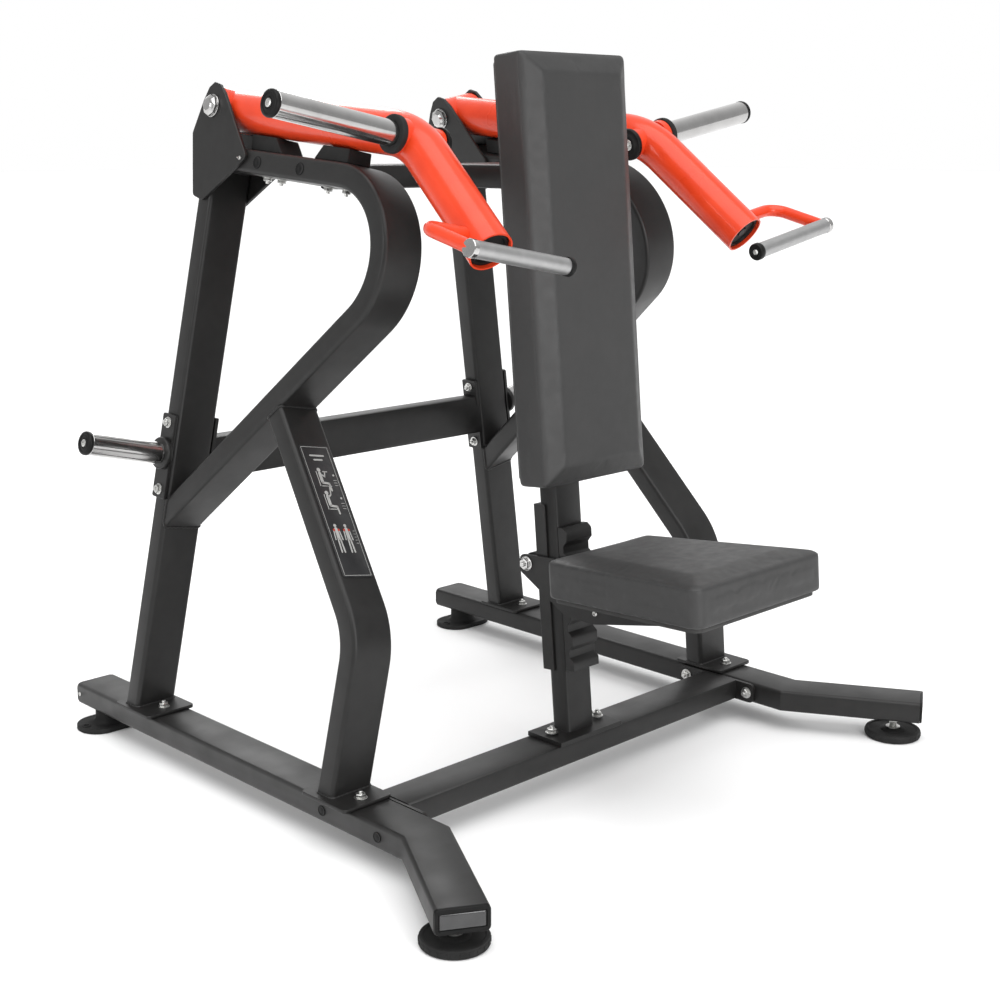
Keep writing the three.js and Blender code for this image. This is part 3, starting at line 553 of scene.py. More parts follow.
def build_base(side):
    """Rail with its caps, the rubber feet and the bolts along it."""
    label, sign = side.label, side.sign
    refined(f"{label}_base_rail", 0.0015, sharp=40)
    low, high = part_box(f"{label}_base_rail")
    rear_low, rear_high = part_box(f"{label}_rail_rear_cap")
    rear_cap(side, Vector(((rear_low.x + rear_high.x) / 2, rear_low.y, (low.z + high.z) / 2)))
    front_cap(side)
    rear_foot(side)
    levelling_foot(side)
    outer = sign * (abs((rear_low.x + rear_high.x) / 2) + TUBE[0] / 2)
    out = ACROSS * sign
    for index, y in enumerate((-0.842, -1.011)):
        hole_plug(f"{label}_rail_plug_{index + 1}", Vector((outer, y + ROW_SHIFT, 0.075)), out, "frame")
    socket_bolt(f"{label}_cap_screw", Vector((outer, 0.087 + ROW_SHIFT, 0.075)), out, "frame", 0.0048)
    plate_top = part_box(f"{label}_rear_post")[0].z + PLATE
    for index, (x, y) in enumerate(((0.582, -0.906), (0.580, -0.202))):
        spot = Vector((sign * x, y + ROW_SHIFT, plate_top))
        hex_bolt(f"{label}_plate_bolt_{index + 1}", spot, UP, "frame", 0.0105)


def rear_cap(side, centre):
    """Moulded cap pushed into the rail's rear end."""
    mesh_data = bmesh.new()
    rings = []
    for inset, depth in ((0.0, 0.0003), (0.0, 0.0026), (0.0012, 0.0046), (0.0045, 0.0057), (0.012, 0.0060)):
        section = rounded_rectangle(TUBE[0] - 2 * inset, TUBE[1] - 2 * inset, TUBE_RADIUS * 1.3, 6)
        rings.append([centre + ACROSS * a + REAR * depth + UP * b for a, b in section])
    add_rings(mesh_data, rings)
    finish_mesh(f"{side.label}_rail_rear_cap_moulding", mesh_data, PLASTIC, "frame",
                (f"{side.label}_rail_rear_cap",), 50)


def front_cap(side):
    """Black rim round a recessed polished panel, on the splayed end of the rail."""
    node = frame["nodes"][f"{side.label}_rail_front_cap"]
    largest = max(node.data.polygons, key=lambda face: face.area)
    outward = Vector((largest.normal.x, largest.normal.y, 0)).normalized()
    if outward.y > 0:
        outward = -outward
    points = [vertex.co for vertex in node.data.vertices]
    centre = sum(points, Vector()) / len(points)
    centre.z = (min(p.z for p in points) + max(p.z for p in points)) / 2
    nearest = min(p.dot(outward) for p in points)
    centre += outward * (nearest - centre.dot(outward))
    first = UP.cross(outward).normalized()

    def ring(width, height, radius, depth):
        outline = rounded_rectangle(width, height, radius, 6)
        return [centre + first * a + UP * b + outward * depth for a, b in outline]

    rim = bmesh.new()
    add_rings(rim, [
        ring(0.0997, 0.0497, 0.0100, 0.0), ring(0.0997, 0.0497, 0.0100, 0.0030),
        ring(0.0965, 0.0465, 0.0090, 0.0052), ring(0.0860, 0.0330, 0.0030, 0.0052),
        ring(0.0835, 0.0305, 0.0020, 0.0030), ring(0.0800, 0.0270, 0.0015, 0.0030),
    ])
    finish_mesh(f"{side.label}_front_cap_rim", rim, PLASTIC, "frame", (f"{side.label}_rail_front_cap",))
    panel = bmesh.new()
    add_rings(panel, [
        ring(0.0810, 0.0280, 0.0020, 0.0029), ring(0.0810, 0.0280, 0.0020, 0.0040),
        ring(0.0795, 0.0265, 0.0018, 0.0047), ring(0.0700, 0.0170, 0.0018, 0.0049),
    ])
    finish_mesh(f"{side.label}_front_cap_panel", panel, GLOSS, "frame")


def rear_foot(side):
    """Rubber foot: flange with bolt holes, a skirt and the round body."""
    low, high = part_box(f"{side.label}_rear_foot")
    centre = (low + high) / 2
    centre.z = low.z
    mesh_data = bmesh.new()
    outline = rounded_outline([(-0.080, -0.054, 0.052), (0.080, -0.054, 0.052), (0.080, 0.054, 0.052),
                               (-0.080, 0.054, 0.052)], 12)
    rings = []
    for scale, height in ((0.985, 0.0), (1.0, 0.001), (1.0, 0.0098), (0.985, 0.0114), (0.93, 0.0120),
                          (0.90, 0.0112), (0.60, 0.0112)):
        rings.append([centre + ACROSS * a * scale + REAR * b * scale + UP * height for a, b in outline])
    add_rings(mesh_data, rings)
    lathe(mesh_data, [(0, 0.004), (0.041, 0.004), (0.041, 0.0112), (0.0375, 0.0128), (0.0345, 0.0160),
                      (0.0332, 0.0200), (0.0328, 0.0450), (0.0320, 0.0465), (0.0320, 0.0496), (0, 0.0496)],
          centre, UP, 48)
    for sign in (-1, 1):
        spot = centre + ACROSS * 0.064 * sign + UP * 0.0108
        lathe(mesh_data, [(0, 0), (0.0115, 0), (0.0115, 0.0018), (0.0100, 0.0024), (0.0064, 0.0024),
                          (0.0060, 0.0004), (0, 0.0004)], spot, UP, 28)
    finish_mesh(f"{side.label}_rear_foot_moulding", mesh_data, RUBBER, "frame", (f"{side.label}_rear_foot",))


def levelling_foot(side):
    """Round foot with a grip band, its stem, washer and lock nut."""
    low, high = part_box(f"{side.label}_levelling_foot")
    centre = (low + high) / 2
    centre.z = low.z
    mesh_data = bmesh.new()
    lathe(mesh_data, [(0, 0), (0.0600, 0), (0.0628, 0.0022), (0.0634, 0.0045), (0.0634, 0.0145),
                      (0.0624, 0.0172), (0.0600, 0.0184), (0.0560, 0.0180), (0.0540, 0.0160),
                      (0.0300, 0.0160), (0.0270, 0.0185), (0.0190, 0.0200), (0, 0.0200)], centre, UP, 96)
    for index in range(24):
        angle = 2 * math.pi * index / 24
        direction = Vector((math.cos(angle), math.sin(angle), 0))
        first = UP.cross(direction)
        section = rounded_rectangle(0.0105, 0.0085, 0.0018, 3)
        rings = []
        for scale, reach in ((1.0, 0.0626), (1.0, 0.0638), (0.86, 0.0644)):
            rings.append([centre + direction * reach + first * a * scale + UP * (0.0095 + b * scale)
                          for a, b in section])
        add_rings(mesh_data, rings)
    finish_mesh(f"{side.label}_foot_pad", mesh_data, RUBBER, "frame", (f"{side.label}_levelling_foot",), 35)
    stem = bmesh.new()
    profile = [(0, 0.0195)]
    for turn in range(14):
        height = 0.0200 + turn * 0.0019
        profile += [(0.0076, height), (0.0089, height + 0.00095)]
    profile += [(0.0080, 0.0482), (0, 0.0482)]
    lathe(stem, profile, centre, UP, 32)
    lathe(stem, [(0, 0.0205), (0.0152, 0.0205), (0.0165, 0.0212), (0.0165, 0.0228), (0.0152, 0.0236),
                 (0, 0.0236)], centre, UP, 40)
    lathe(stem, [(0, 0.0360), (0.0136, 0.0360), (0.0146, 0.0370), (0.0146, 0.0450), (0.0136, 0.0462),
                 (0, 0.0462)], centre, UP, 6)
    lathe(stem, [(0, 0.0463), (0.0175, 0.0463), (0.0185, 0.0470), (0.0185, 0.0490), (0.0175, 0.0496),
                 (0, 0.0496)], centre, UP, 40)
    finish_mesh(f"{side.label}_foot_stem", stem, ZINC, "frame", (), 30)


# ---- side frames ----
def build_side_frame(side):
    """Post, bent tube, leg, cheek plates, stops and the storage horn of one side."""
    label = side.label
    frame_tubes(side)
    for place in ("outer", "inner"):
        refined(f"{label}_{place}_pivot_plate", 0.0014)
    pivot_bolt(side)
    for place in ("front", "rear"):
        refined(f"{label}_{place}_stop_block", 0.0022, RUBBER)
    storage_horn(side)
    frame_fasteners(side)


def frame_tubes(side):
    label = side.label
    section = rounded_rectangle(TUBE[0], TUBE[1], TUBE_RADIUS, 6)
    out = side.out
    # rear post
    top_w = beam_top(PIVOT_Y) - 0.0006
    mesh_data = bmesh.new()
    stations = bent_route([side.at(0, post_y(-0.02), -0.02), side.at(0, post_y(top_w), top_w)], 0)
    sweep(mesh_data, section, stations, out, 0.0012)
    plate_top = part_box(f"{label}_rear_post")[0].z + PLATE
    cut_away(mesh_data, Vector((0, 0, plate_top - 0.002)), -UP)
    finish_mesh(f"{label}_post_tube", mesh_data, FRAME_PAINT, "frame", (f"{label}_rear_post",))
    post_line = side.along(0, POST_SLOPE, 1)
    weld_bead(f"{label}_post_foot_weld",
              slice_loop(section, side.at(0, post_y(0), 0), post_line, out, Vector((0, 0, plate_top)), UP),
              "frame", seed=3)
    base_plate(side, f"{label}_rear_post_plate", (-0.166, 0.140), (0.581, 0.122))
    # bent side tube
    beam_normal = math.pi / 2 + BEAM_ANGLE
    diagonal_normal = 1.5 * math.pi - DIAGONAL_ANGLE
    middle = (beam_normal + diagonal_normal) / 2
    reach = BEND_RADIUS / math.cos((diagonal_normal - beam_normal) / 2)
    vertex = (BEND_CENTRE[0] + reach * math.cos(middle), BEND_CENTRE[1] + reach * math.sin(middle))
    beam_end = (vertex[0] + 0.86 * math.cos(BEAM_ANGLE), vertex[1] + 0.86 * math.sin(BEAM_ANGLE))
    diagonal_end = (vertex[0] + 1.15 * math.cos(DIAGONAL_ANGLE), vertex[1] - 1.15 * math.sin(DIAGONAL_ANGLE))
    corners = [side.at(0, *point) for point in (beam_end, vertex, diagonal_end)]
    mesh_data = bmesh.new()
    sweep(mesh_data, section, bent_route(corners, BEND_RADIUS), out)
    face = side.at(0, post_y(0) - TUBE[1] / 2 - 0.0002, 0)
    post_normal = side.along(0, 1, -POST_SLOPE)
    cut_away(mesh_data, face, post_normal)
    finish_mesh(f"{label}_bent_tube", mesh_data, FRAME_PAINT, "frame", (f"{label}_side_tube",))
    near = corners[1]
    for index, far in enumerate((corners[0], corners[2])):
        along = (far - near).normalized()
        weld_bead(f"{label}_post_weld_{index + 1}",
                  slice_loop(section, near, along, out, face, post_normal), "frame", seed=7 + index)
    # front leg
    climb = (math.cos(LEG_ANGLE), math.sin(LEG_ANGLE))
    leg = [side.at(0, leg_y(-0.02), -0.02), side.at(0, *LEG_VERTEX),
           side.at(0, LEG_VERTEX[0] + 0.62 * climb[0], LEG_VERTEX[1] + 0.62 * climb[1])]
    mesh_data = bmesh.new()
    sweep(mesh_data, section, bent_route(leg, BEND_RADIUS), out)
    cut_away(mesh_data, Vector((0, 0, plate_top - 0.002)), -UP)
    reach = BEND_RADIUS + TUBE[1] / 2 + 0.0002
    under = side.at(0, BEND_CENTRE[0] + reach * math.cos(diagonal_normal),
                    BEND_CENTRE[1] + reach * math.sin(diagonal_normal))
    away = side.along(0, -math.cos(diagonal_normal), -math.sin(diagonal_normal))
    cut_away(mesh_data, under, away)
    finish_mesh(f"{label}_leg_tube", mesh_data, FRAME_PAINT, "frame", (f"{label}_front_leg",))
    weld_bead(f"{label}_leg_top_weld",
              slice_loop(section, leg[1], (leg[2] - leg[1]).normalized(), out, under, away), "frame", seed=11)
    weld_bead(f"{label}_leg_foot_weld",
              slice_loop(section, side.at(0, leg_y(0), 0), side.along(0, LEG_SLOPE, 1), out,
                         Vector((0, 0, plate_top)), UP), "frame", seed=12)
    base_plate(side, f"{label}_front_leg_plate", (-0.865, 0.140), (0.585, 0.120))


def base_plate(side, name, y_span, x_span):
    """Bolted plate under a tube, with rounded corners and a broken edge."""
    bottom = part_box(f"{side.label}_rear_post")[0].z
    mesh_data = bmesh.new()
    w, d = x_span[1] / 2, y_span[1] / 2
    corner = 0.009
    outline = rounded_outline([(-w, -d, corner), (w, -d, corner), (w, d, corner), (-w, d, corner)], 5)
    spot = Vector((side.sign * x_span[0], y_span[0] + ROW_SHIFT, bottom))
    slab(mesh_data, outline, spot, ACROSS, REAR, PLATE)
    finish_mesh(name, mesh_data, FRAME_PAINT, "frame")


def pivot_bolt(side):
    """Chrome axle: faceted domed heads on thick washers at both cheeks."""
    mesh_data = bmesh.new()
    centre = side.pivot
    lathe(mesh_data, [(0, -0.060), (0.0122, -0.060), (0.0122, 0.060), (0, 0.060)], centre, side.out, 32)
    for sign in (-1, 1):
        start = centre + side.out * sign * 0.0587
        axis = side.out * sign
        lathe(mesh_data, [(0, 0), (0.0240, 0), (0.0245, 0.0006), (0.0245, 0.0024), (0.0238, 0.0030),
                          (0, 0.0030)], start, axis, 48)
        lathe(mesh_data, [(0, 0.0031), (0.0222, 0.0031), (0.0228, 0.0042), (0.0228, 0.0092),
                          (0.0150, 0.0152), (0.0132, 0.0160), (0, 0.0164)], start, axis, 8)
    finish_mesh(f"{side.label}_pivot_axle", mesh_data, CHROME, "frame", (f"{side.label}_pivot_bolt",), 22)


def end_disc(name, origin, axis, radius, body, replaces):
    """Ringed plastic end cap of a sleeve with a bolt in its middle."""
    cap = bmesh.new()
    r = radius
    lathe(cap, [(0, 0), (r, 0), (r * 1.03, 0.0010), (r * 1.04, 0.0055), (r * 1.00, 0.0086), (r * 0.90, 0.0104),
                (r * 0.80, 0.0104), (r * 0.76, 0.0090), (r * 0.66, 0.0086), (r * 0.60, 0.0092), (r * 0.44, 0.0092),
                (r * 0.40, 0.0078), (0, 0.0078)], origin, axis, 56)
    finish_mesh(name, cap, PLASTIC, body, replaces, 45)
    turned(f"{name}_bolt", [(0, 0.0079), (r * 0.33, 0.0079), (r * 0.34, 0.0086), (r * 0.32, 0.0108),
                            (r * 0.22, 0.0118), (r * 0.15, 0.0118), (r * 0.14, 0.0100), (0, 0.0098)], origin,
           axis, 36, ZINC, body)


def sleeve(name, origin, axis, radius, length, body, replaces):
    """Plated tube with broken ends."""
    return turned(name, [(0, 0), (radius - 0.0010, 0), (radius, 0.0010), (radius, length - 0.0010),
                         (radius - 0.0010, length), (0, length)], origin, axis, 64, CHROME, body,
                  replaces, 30)


def storage_horn(side):
    label = side.label
    section = rounded_rectangle(0.048, 0.190, 0.004, 4)
    middle = side.at(0, post_y(0.575), 0.575)
    up = side.along(0, POST_SLOPE, 1)
    rear = side.along(0, 1, -POST_SLOPE)
    outward = rear.cross(up).dot(side.out) > 0
    mesh_data = bmesh.new()
    slab(mesh_data, section, middle + side.out * (0.0503 if outward else 0.0583), rear, up, 0.008)
    spot = side.at(0, post_y(0.581), 0.581)
    lathe(mesh_data, [(0, 0.054), (0.0350, 0.0586), (0.0360, 0.0600), (0.0360, 0.0690), (0.0345, 0.0708),
                      (0.0290, 0.0710), (0.0270, 0.0722), (0, 0.0722)], spot, side.out, 56)
    finish_mesh(f"{label}_storage_plate", mesh_data, FRAME_PAINT, "frame", (f"{label}_storage_bracket",))
    rise = math.atan2(side.out.z, abs(side.out.x)) + math.radians(4)
    axis = (ACROSS * side.sign * math.cos(rise) + UP * math.sin(rise)).normalized()
    start = spot + side.out * 0.0735
    sleeve(f"{label}_storage_tube", start, axis, 0.025, 0.178, "frame", (f"{label}_storage_sleeve",))
    end_disc(f"{label}_storage_end", start + axis * 0.1782, axis, 0.025, "frame", (f"{label}_storage_cap",))


def frame_fasteners(side):
    """Bolts through the storage plate, plugs in the beam and the screws under the stops."""
    label = side.label
    for index, w in enumerate((0.500, 0.651)):
        hex_bolt(f"{label}_storage_bolt_{index + 1}", side.at(0.0584, post_y(w), w), side.out, "frame", 0.0095)
        hex_bolt(f"{label}_crossbeam_bolt_{index + 1}", side.at(-0.0584, post_y(w), w), -side.out, "frame",
                 0.0095)
    for index, (y, w) in enumerate(((-0.386, 1.2285), (-0.534, 1.2170))):
        hole_plug(f"{label}_beam_plug_{index + 1}", side.at(0.050, y, w), side.out, "frame", 0.0135)
        hole_plug(f"{label}_beam_inner_plug_{index + 1}", side.at(-0.050, y, w), -side.out, "frame", 0.0135)
    down = side.along(0, math.sin(BEAM_ANGLE), -math.cos(BEAM_ANGLE))
    for place, row in (("stop", (-0.572, -0.632)), ("rear_stop", (-0.362, -0.412))):
        for index, y in enumerate(row):
            w = beam_top(y) - (TUBE[1] + 0.0002) / math.cos(BEAM_ANGLE)
            hex_bolt(f"{label}_{place}_bolt_{index + 1}", side.at(0, y, w), down, "frame", 0.0095)
    hex_bolt(f"{label}_cheek_screw", side.at(0.0584, -0.335, 1.236), side.out, "frame", 0.0045, washer=False)


# ---- press arms ----
def arm_corners(side, start_shift=0.0, end_shift=0.0):
    start, vertex, end = side.at(0, PIVOT_Y, PIVOT_W), side.at(0, *ARM_VERTEX), side.at(0, *ARM_END)
    first, last = (vertex - start).normalized(), (end - vertex).normalized()
    return [start + first * start_shift, vertex, end + last * end_shift]


def build_arm(side):
    """One press arm with its hub, plate sleeve, handle and caps; it moves as one body."""
    label, body = side.label, f"{side.label}_arm"
    out = side.out
    corners = arm_corners(side)
    mesh_data = bmesh.new()
    sweep(mesh_data, circle(ARM_RADIUS, 64), bent_route(corners, ARM_BEND_RADIUS, 2.5), out, open_end=True)
    lathe(mesh_data, [(0, -0.0475), (ARM_RADIUS - 0.001, -0.0475), (ARM_RADIUS, -0.0465), (ARM_RADIUS, 0.0465),
                      (ARM_RADIUS - 0.001, 0.0475), (0, 0.0475)], side.pivot, out, 64)
    horn = side.at(0, *HORN)
    for profile in ([(0, 0.030), (0.0345, 0.030), (0.0345, 0.0466), (0.0335, 0.0476), (0, 0.0476)],
                    [(0, -0.030), (0.030, -0.030), (0.030, -0.0575), (0.029, -0.0585), (0, -0.0585)]):
        lathe(mesh_data, profile, horn, out, 48)
    finish_mesh(f"{label}_arm_body", mesh_data, ARM_PAINT, body, (f"{label}_arm_tube",))
    last = (corners[2] - corners[1]).normalized()
    turned(f"{label}_arm_plug", [(0, -0.019), (0.0405, -0.019), (0.0405, -0.0085), (0.0390, -0.0070),
                                 (0.0330, -0.0066), (0.0310, -0.0110), (0.0120, -0.0114), (0.0100, -0.0080),
                                 (0, -0.0078)], corners[2], last, 56, PLASTIC, body,
           (f"{label}_arm_end_plug",))
    socket_bolt(f"{label}_arm_rivet", side.at(0.0290, ARM_END[0] + 0.040, ARM_END[1] + 0.0655),
                side.along(0.62, -0.50, 0.60), body, 0.0042)
    turned(f"{label}_bushing", [(0.0126, -0.0490), (0.0166, -0.0490), (0.0166, 0.0490), (0.0126, 0.0490),
                                (0.0126, -0.0490)], side.pivot, out, 40, BRONZE, body,
           (f"{label}_pivot_bushing",))
    plate_sleeve(side, horn, body)
    handle(side, body)


def plate_sleeve(side, horn, body):
    label, out = side.label, side.out
    turned(f"{label}_rubber_ring", [(0.0252, 0.0478), (0.0355, 0.0478), (0.0372, 0.0495), (0.0375, 0.0520),
                                    (0.0375, 0.0580), (0.0370, 0.0602), (0.0352, 0.0618), (0.0275, 0.0620),
                                    (0.0252, 0.0612), (0.0252, 0.0478)], horn, out, 64, RUBBER, body,
           (f"{label}_horn_collar",), 35)
    sleeve(f"{label}_plate_sleeve", horn + out * 0.0480, out, 0.025, 0.292, body, (f"{label}_plate_horn",))
    end_disc(f"{label}_plate_end", horn + out * 0.3402, out, 0.025, body, (f"{label}_horn_cap",))
    turned(f"{label}_inner_hub_cap", [(0, 0.0586), (0.0340, 0.0586), (0.0345, 0.0596), (0.0345, 0.0660),
                                      (0.0332, 0.0680), (0.0240, 0.0688), (0.0220, 0.0676), (0.0130, 0.0676),
                                      (0, 0.0676)], horn, -out, 56, PLASTIC, body)
    hex_bolt(f"{label}_inner_hub_bolt", horn - out * 0.0676, -out, body, 0.0095)


def handle(side, body):
    """Bent orange bar with its welded collar, and the satin grip across its end."""
    label, out = side.label, side.out
    grip = side.at(0, *GRIP)
    corners = [side.at(0.020, -1.035, 1.107), side.at(0.148, -1.035, 1.107), side.at(0.143, *GRIP)]
    mesh_data = bmesh.new()
    sweep(mesh_data, circle(0.013, 36), bent_route(corners, 0.038, 4))
    finish_mesh(f"{label}_handle_tube", mesh_data, ARM_PAINT, body, (f"{label}_handle_bar",))
    turned(f"{label}_grip_collar", [(0, 0.144), (0.0160, 0.144), (0.0170, 0.1450), (0.0170, 0.1545),
                                    (0.0160, 0.1558), (0.0110, 0.1562), (0, 0.1562)], grip, out, 48, CHROME,
           body, (), 35)
    mesh_data = bmesh.new()
    profile = [(0, -0.098), (0.0150, -0.098), (0.0159, -0.0972)]
    steps = 110
    for step in range(steps):
        profile.append((0.0160 if step % 2 else 0.01575, -0.0965 + (0.144 + 0.0965) * step / (steps - 1)))
    profile.append((0, 0.144))
    lathe(mesh_data, profile, grip, out, 48)
    finish_mesh(f"{label}_grip_tube", mesh_data, SATIN, body, (f"{label}_hand_grip",), 60)
    turned(f"{label}_grip_end", [(0, 0.0981), (0.0161, 0.0981), (0.0161, 0.0925), (0.0174, 0.0925),
                                 (0.0180, 0.0935), (0.0180, 0.1025), (0.0166, 0.1050), (0.0110, 0.1058),
                                 (0.0080, 0.1042), (0, 0.1038)], grip, -out, 44, PLASTIC, body,
           (f"{label}_grip_cap",))
    socket_bolt(f"{label}_grip_bolt", grip - out * 0.1036, -out, body, 0.0062)


# ---- crossbeams, mast and seat ----
MAST_WIDTH, MAST_DEPTH = 0.080, 0.050
AXLE = Vector(JOINTS["seat_release_tilt"]["pos_m"])
MAST_UP = Vector(JOINTS["seat_height"]["axis"])
MAST_REAR = Vector((0, MAST_UP.z, -MAST_UP.y))

FOOT = Vector((0, ROW_SHIFT - 0.9355, 0.103))


def on_mast(x, offset, height):
    return FOOT + ACROSS * x + MAST_REAR * offset + MAST_UP * height


def build_crossbeams(sides):
    for node in ("front_crossbar", "lower_crossbeam", "upper_crossbeam"):
        refined(node, 0.0014, sharp=40)
    inner_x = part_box("front_crossbar")[1].x - 0.008
    for side in sides:
        for index, y in enumerate((-0.834, -1.016)):
            spot = Vector((side.sign * inner_x, y + ROW_SHIFT, 0.0755))
            hex_bolt(f"{side.label}_crossbar_bolt_{index + 1}", spot, -ACROSS * side.sign, "frame", 0.0105)
        spot = Vector((side.sign * 0.073, -0.938 + ROW_SHIFT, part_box("central_post")[0].z + 0.0142))
        hex_bolt(f"{side.label}_mast_bolt", spot, UP, "frame", 0.0105)


def build_mast():
    for node, bevel in (("central_post", 0.0014), ("seat_rack", 0.0012), ("seat_guide_channel", 0.001)):
        refined(node, bevel, sharp=40)
    top = 1.222
    lid = bmesh.new()
    outline = rounded_rectangle(MAST_WIDTH - 0.002, MAST_DEPTH - 0.002, 0.008, 5)
    rings = []
    for inset, height in ((0, -0.001), (0, 0.0012), (0.001, 0.0022), (0.006, 0.0028)):
        shrink = 1 - 2 * inset / MAST_DEPTH
        rings.append([on_mast(a * shrink, b * shrink, top + height) for a, b in outline])
    add_rings(lid, rings)
    finish_mesh("mast_top_cap", lid, PLASTIC, "frame")
    for index, height in enumerate((0.700, 0.960, 1.180)):
        spot = on_mast(0, MAST_DEPTH / 2 + 0.0003, height)
        hex_bolt(f"backrest_bolt_{index + 1}", spot, MAST_REAR, "frame", 0.0085)


def build_seat_mechanism():
    """Roller and axle behind the mast, cheek plates and the catch, and their screws."""
    roller = bmesh.new()
    half = 0.036
    lathe(roller, [(0, -half), (0.0195, -half), (0.0210, -half + 0.0015), (0.0210, half - 0.0015),
                   (0.0195, half), (0, half)], AXLE, ACROSS, 48)
    finish_mesh("seat_roller_wheel", roller, RUBBER, "seat_slider", ("seat_roller",))
    turned("seat_axle", [(0, -0.0545), (0.008, -0.0545), (0.008, 0.0545), (0, 0.0545)], AXLE, ACROSS, 32,
           ZINC, "seat_slider")
    for sign, label in ((-1, "left"), (1, "right")):
        hex_bolt(f"{label}_axle_bolt", AXLE + ACROSS * sign * 0.0535, ACROSS * sign, "seat_slider", 0.0125,
                 CHROME)
        for index, (y, z) in enumerate(((-0.112, -0.062), (-0.146, 0.012), (-0.200, -0.070))):
            spot = AXLE + Vector((sign * 0.0531, y, z))
            socket_bolt(f"{label}_cheek_bolt_{index + 1}", spot, ACROSS * sign, "seat", 0.0062)
    refined("seat_carriage", 0.001, sharp=36)


# ---- upholstery ----
def smooth_step(value):
    value = max(0.0, min(1.0, value))
    return value * value * (3 - 2 * value)


CLOTH_FRAMES = 20
SHRINK = 0.0015  # how much smaller a cushion starts
CROWN = 0.0022  # rise of a cushion's middle


class Pad:
    """A cushion on a frame of three axes: across, along and out of its face."""

    def __init__(self, name, origin, axes, half_widths, length, corner, heights, bevels):
        self.name = name
        self.origin = origin
        self.across, self.along, self.out = axes
        self.half_widths = half_widths  # at the start and at the end of its length
        self.length = length
        self.corner = corner
        self.wall, self.full = heights
        self.side_bevel, self.end_bevel = bevels

    def half(self, b):
        share = b / self.length
        return self.half_widths[0] * (1 - share) + self.half_widths[1] * share

    def border(self, steps=8):
        """The pad's outline in its own plane, rounded at the corners."""
        w0, w1 = self.half_widths
        c0, c1 = self.corner
        far = self.length
        return rounded_outline([(-w0, 0, c0), (w0, 0, c0), (w1, far, c1), (-w1, far, c1)], steps)

    def height(self, a, b):
        """Face height: a wall, a mitred bevel and a gently crowned middle."""
        side = (self.half(b) - abs(a)) / self.side_bevel
        end = min(b, self.length - b) / self.end_bevel
        nearest = max(0.0, min(side, end))
        ramp = min(1.0, nearest)
        blend = 0.82 * ramp + 0.18 * smooth_step(ramp)
        crown = CROWN * math.cos(math.pi / 2 * min(1, abs(a) / self.half(b)))
        return self.wall + (self.full - self.wall - CROWN) * blend + crown * ramp

    def place(self, a, b, h):
        return self.origin + self.across * a + self.along * b + self.out * h

    def solid(self):
        """Closed start shape, a little smaller than the finished pad."""
        outline = self.border()
        middle = self.length / 2
        span = min(self.half_widths)

        def ring(inset, height=None):
            points = []
            for a, b in outline:
                a_in = a * (1 - inset / span)
                b_in = middle + (b - middle) * (1 - inset / middle)
                level = self.height(a_in, b_in) - SHRINK if height is None else height
                points.append(self.place(a_in, b_in, level))
            return points

        edge = ((0.0050, 0.0), (0.0012, 0.0018), (0, 0.0055))
        rings = [ring(SHRINK + inset, height) for inset, height in edge]
        rings += [ring(SHRINK, 0.010 + (self.wall - 0.016) * step / 6) for step in range(7)]
        shoulder = ((0.0008, 0.0038), (0.0026, 0.0018))
        rings += [ring(SHRINK + inset, self.wall - drop) for inset, drop in shoulder]
        rings += [ring(SHRINK + 0.0026 + (span - 0.006) * step / 34) for step in range(1, 34)]
        mesh_data = bmesh.new()
        add_rings(mesh_data, rings)
        return mesh_data


def inflate(piece, hold, cap):
    """Swells a start shape as stuffed cloth, then keeps each point within a cap of its start."""
    bpy.context.view_layer.objects.active = piece
    remesh = piece.modifiers.new("remesh", "REMESH")
    remesh.mode = "VOXEL"
    remesh.voxel_size = 0.0045
    bake_modifiers(piece)
    start = [(vertex.co.copy(), vertex.normal.copy()) for vertex in piece.data.vertices]
    cloth = piece.modifiers.new("cloth", "CLOTH")
    for setting, value in (("quality", 5), ("mass", 0.25), ("tension_stiffness", 25),
                           ("compression_stiffness", 25), ("shear_stiffness", 10), ("bending_stiffness", 6),
                           ("use_pressure", True), ("uniform_pressure_force", 4.0)):
        setattr(cloth.settings, setting, value)
    cloth.settings.effector_weights.gravity = 0
    cloth.point_cache.frame_start = 1
    cloth.point_cache.frame_end = CLOTH_FRAMES
    scene = bpy.context.scene
    for number in range(1, CLOTH_FRAMES + 1):
        scene.frame_set(number)
    evaluated = piece.evaluated_get(bpy.context.evaluated_depsgraph_get())
    swollen = [vertex.co.copy() for vertex in evaluated.data.vertices]
    piece.modifiers.remove(cloth)
    scene.frame_set(1)
    for vertex, (before, normal), after in zip(piece.data.vertices, start, swollen):
        move = after - before
        if move.length > cap:
            move = move.normalized() * cap
        vertex.co = before + hold(before, move, normal)
    subdivision = piece.modifiers.new("fine", "SUBSURF")
    subdivision.levels = 1
    subdivision.render_levels = 1
    shade(piece, 80)


def bake_modifiers(piece):
    """Replaces an object's mesh by what its modifiers make of it."""
    evaluated = piece.evaluated_get(bpy.context.evaluated_depsgraph_get())
    mesh = bpy.data.meshes.new_from_object(evaluated)
    piece.modifiers.clear()
    piece.data = mesh


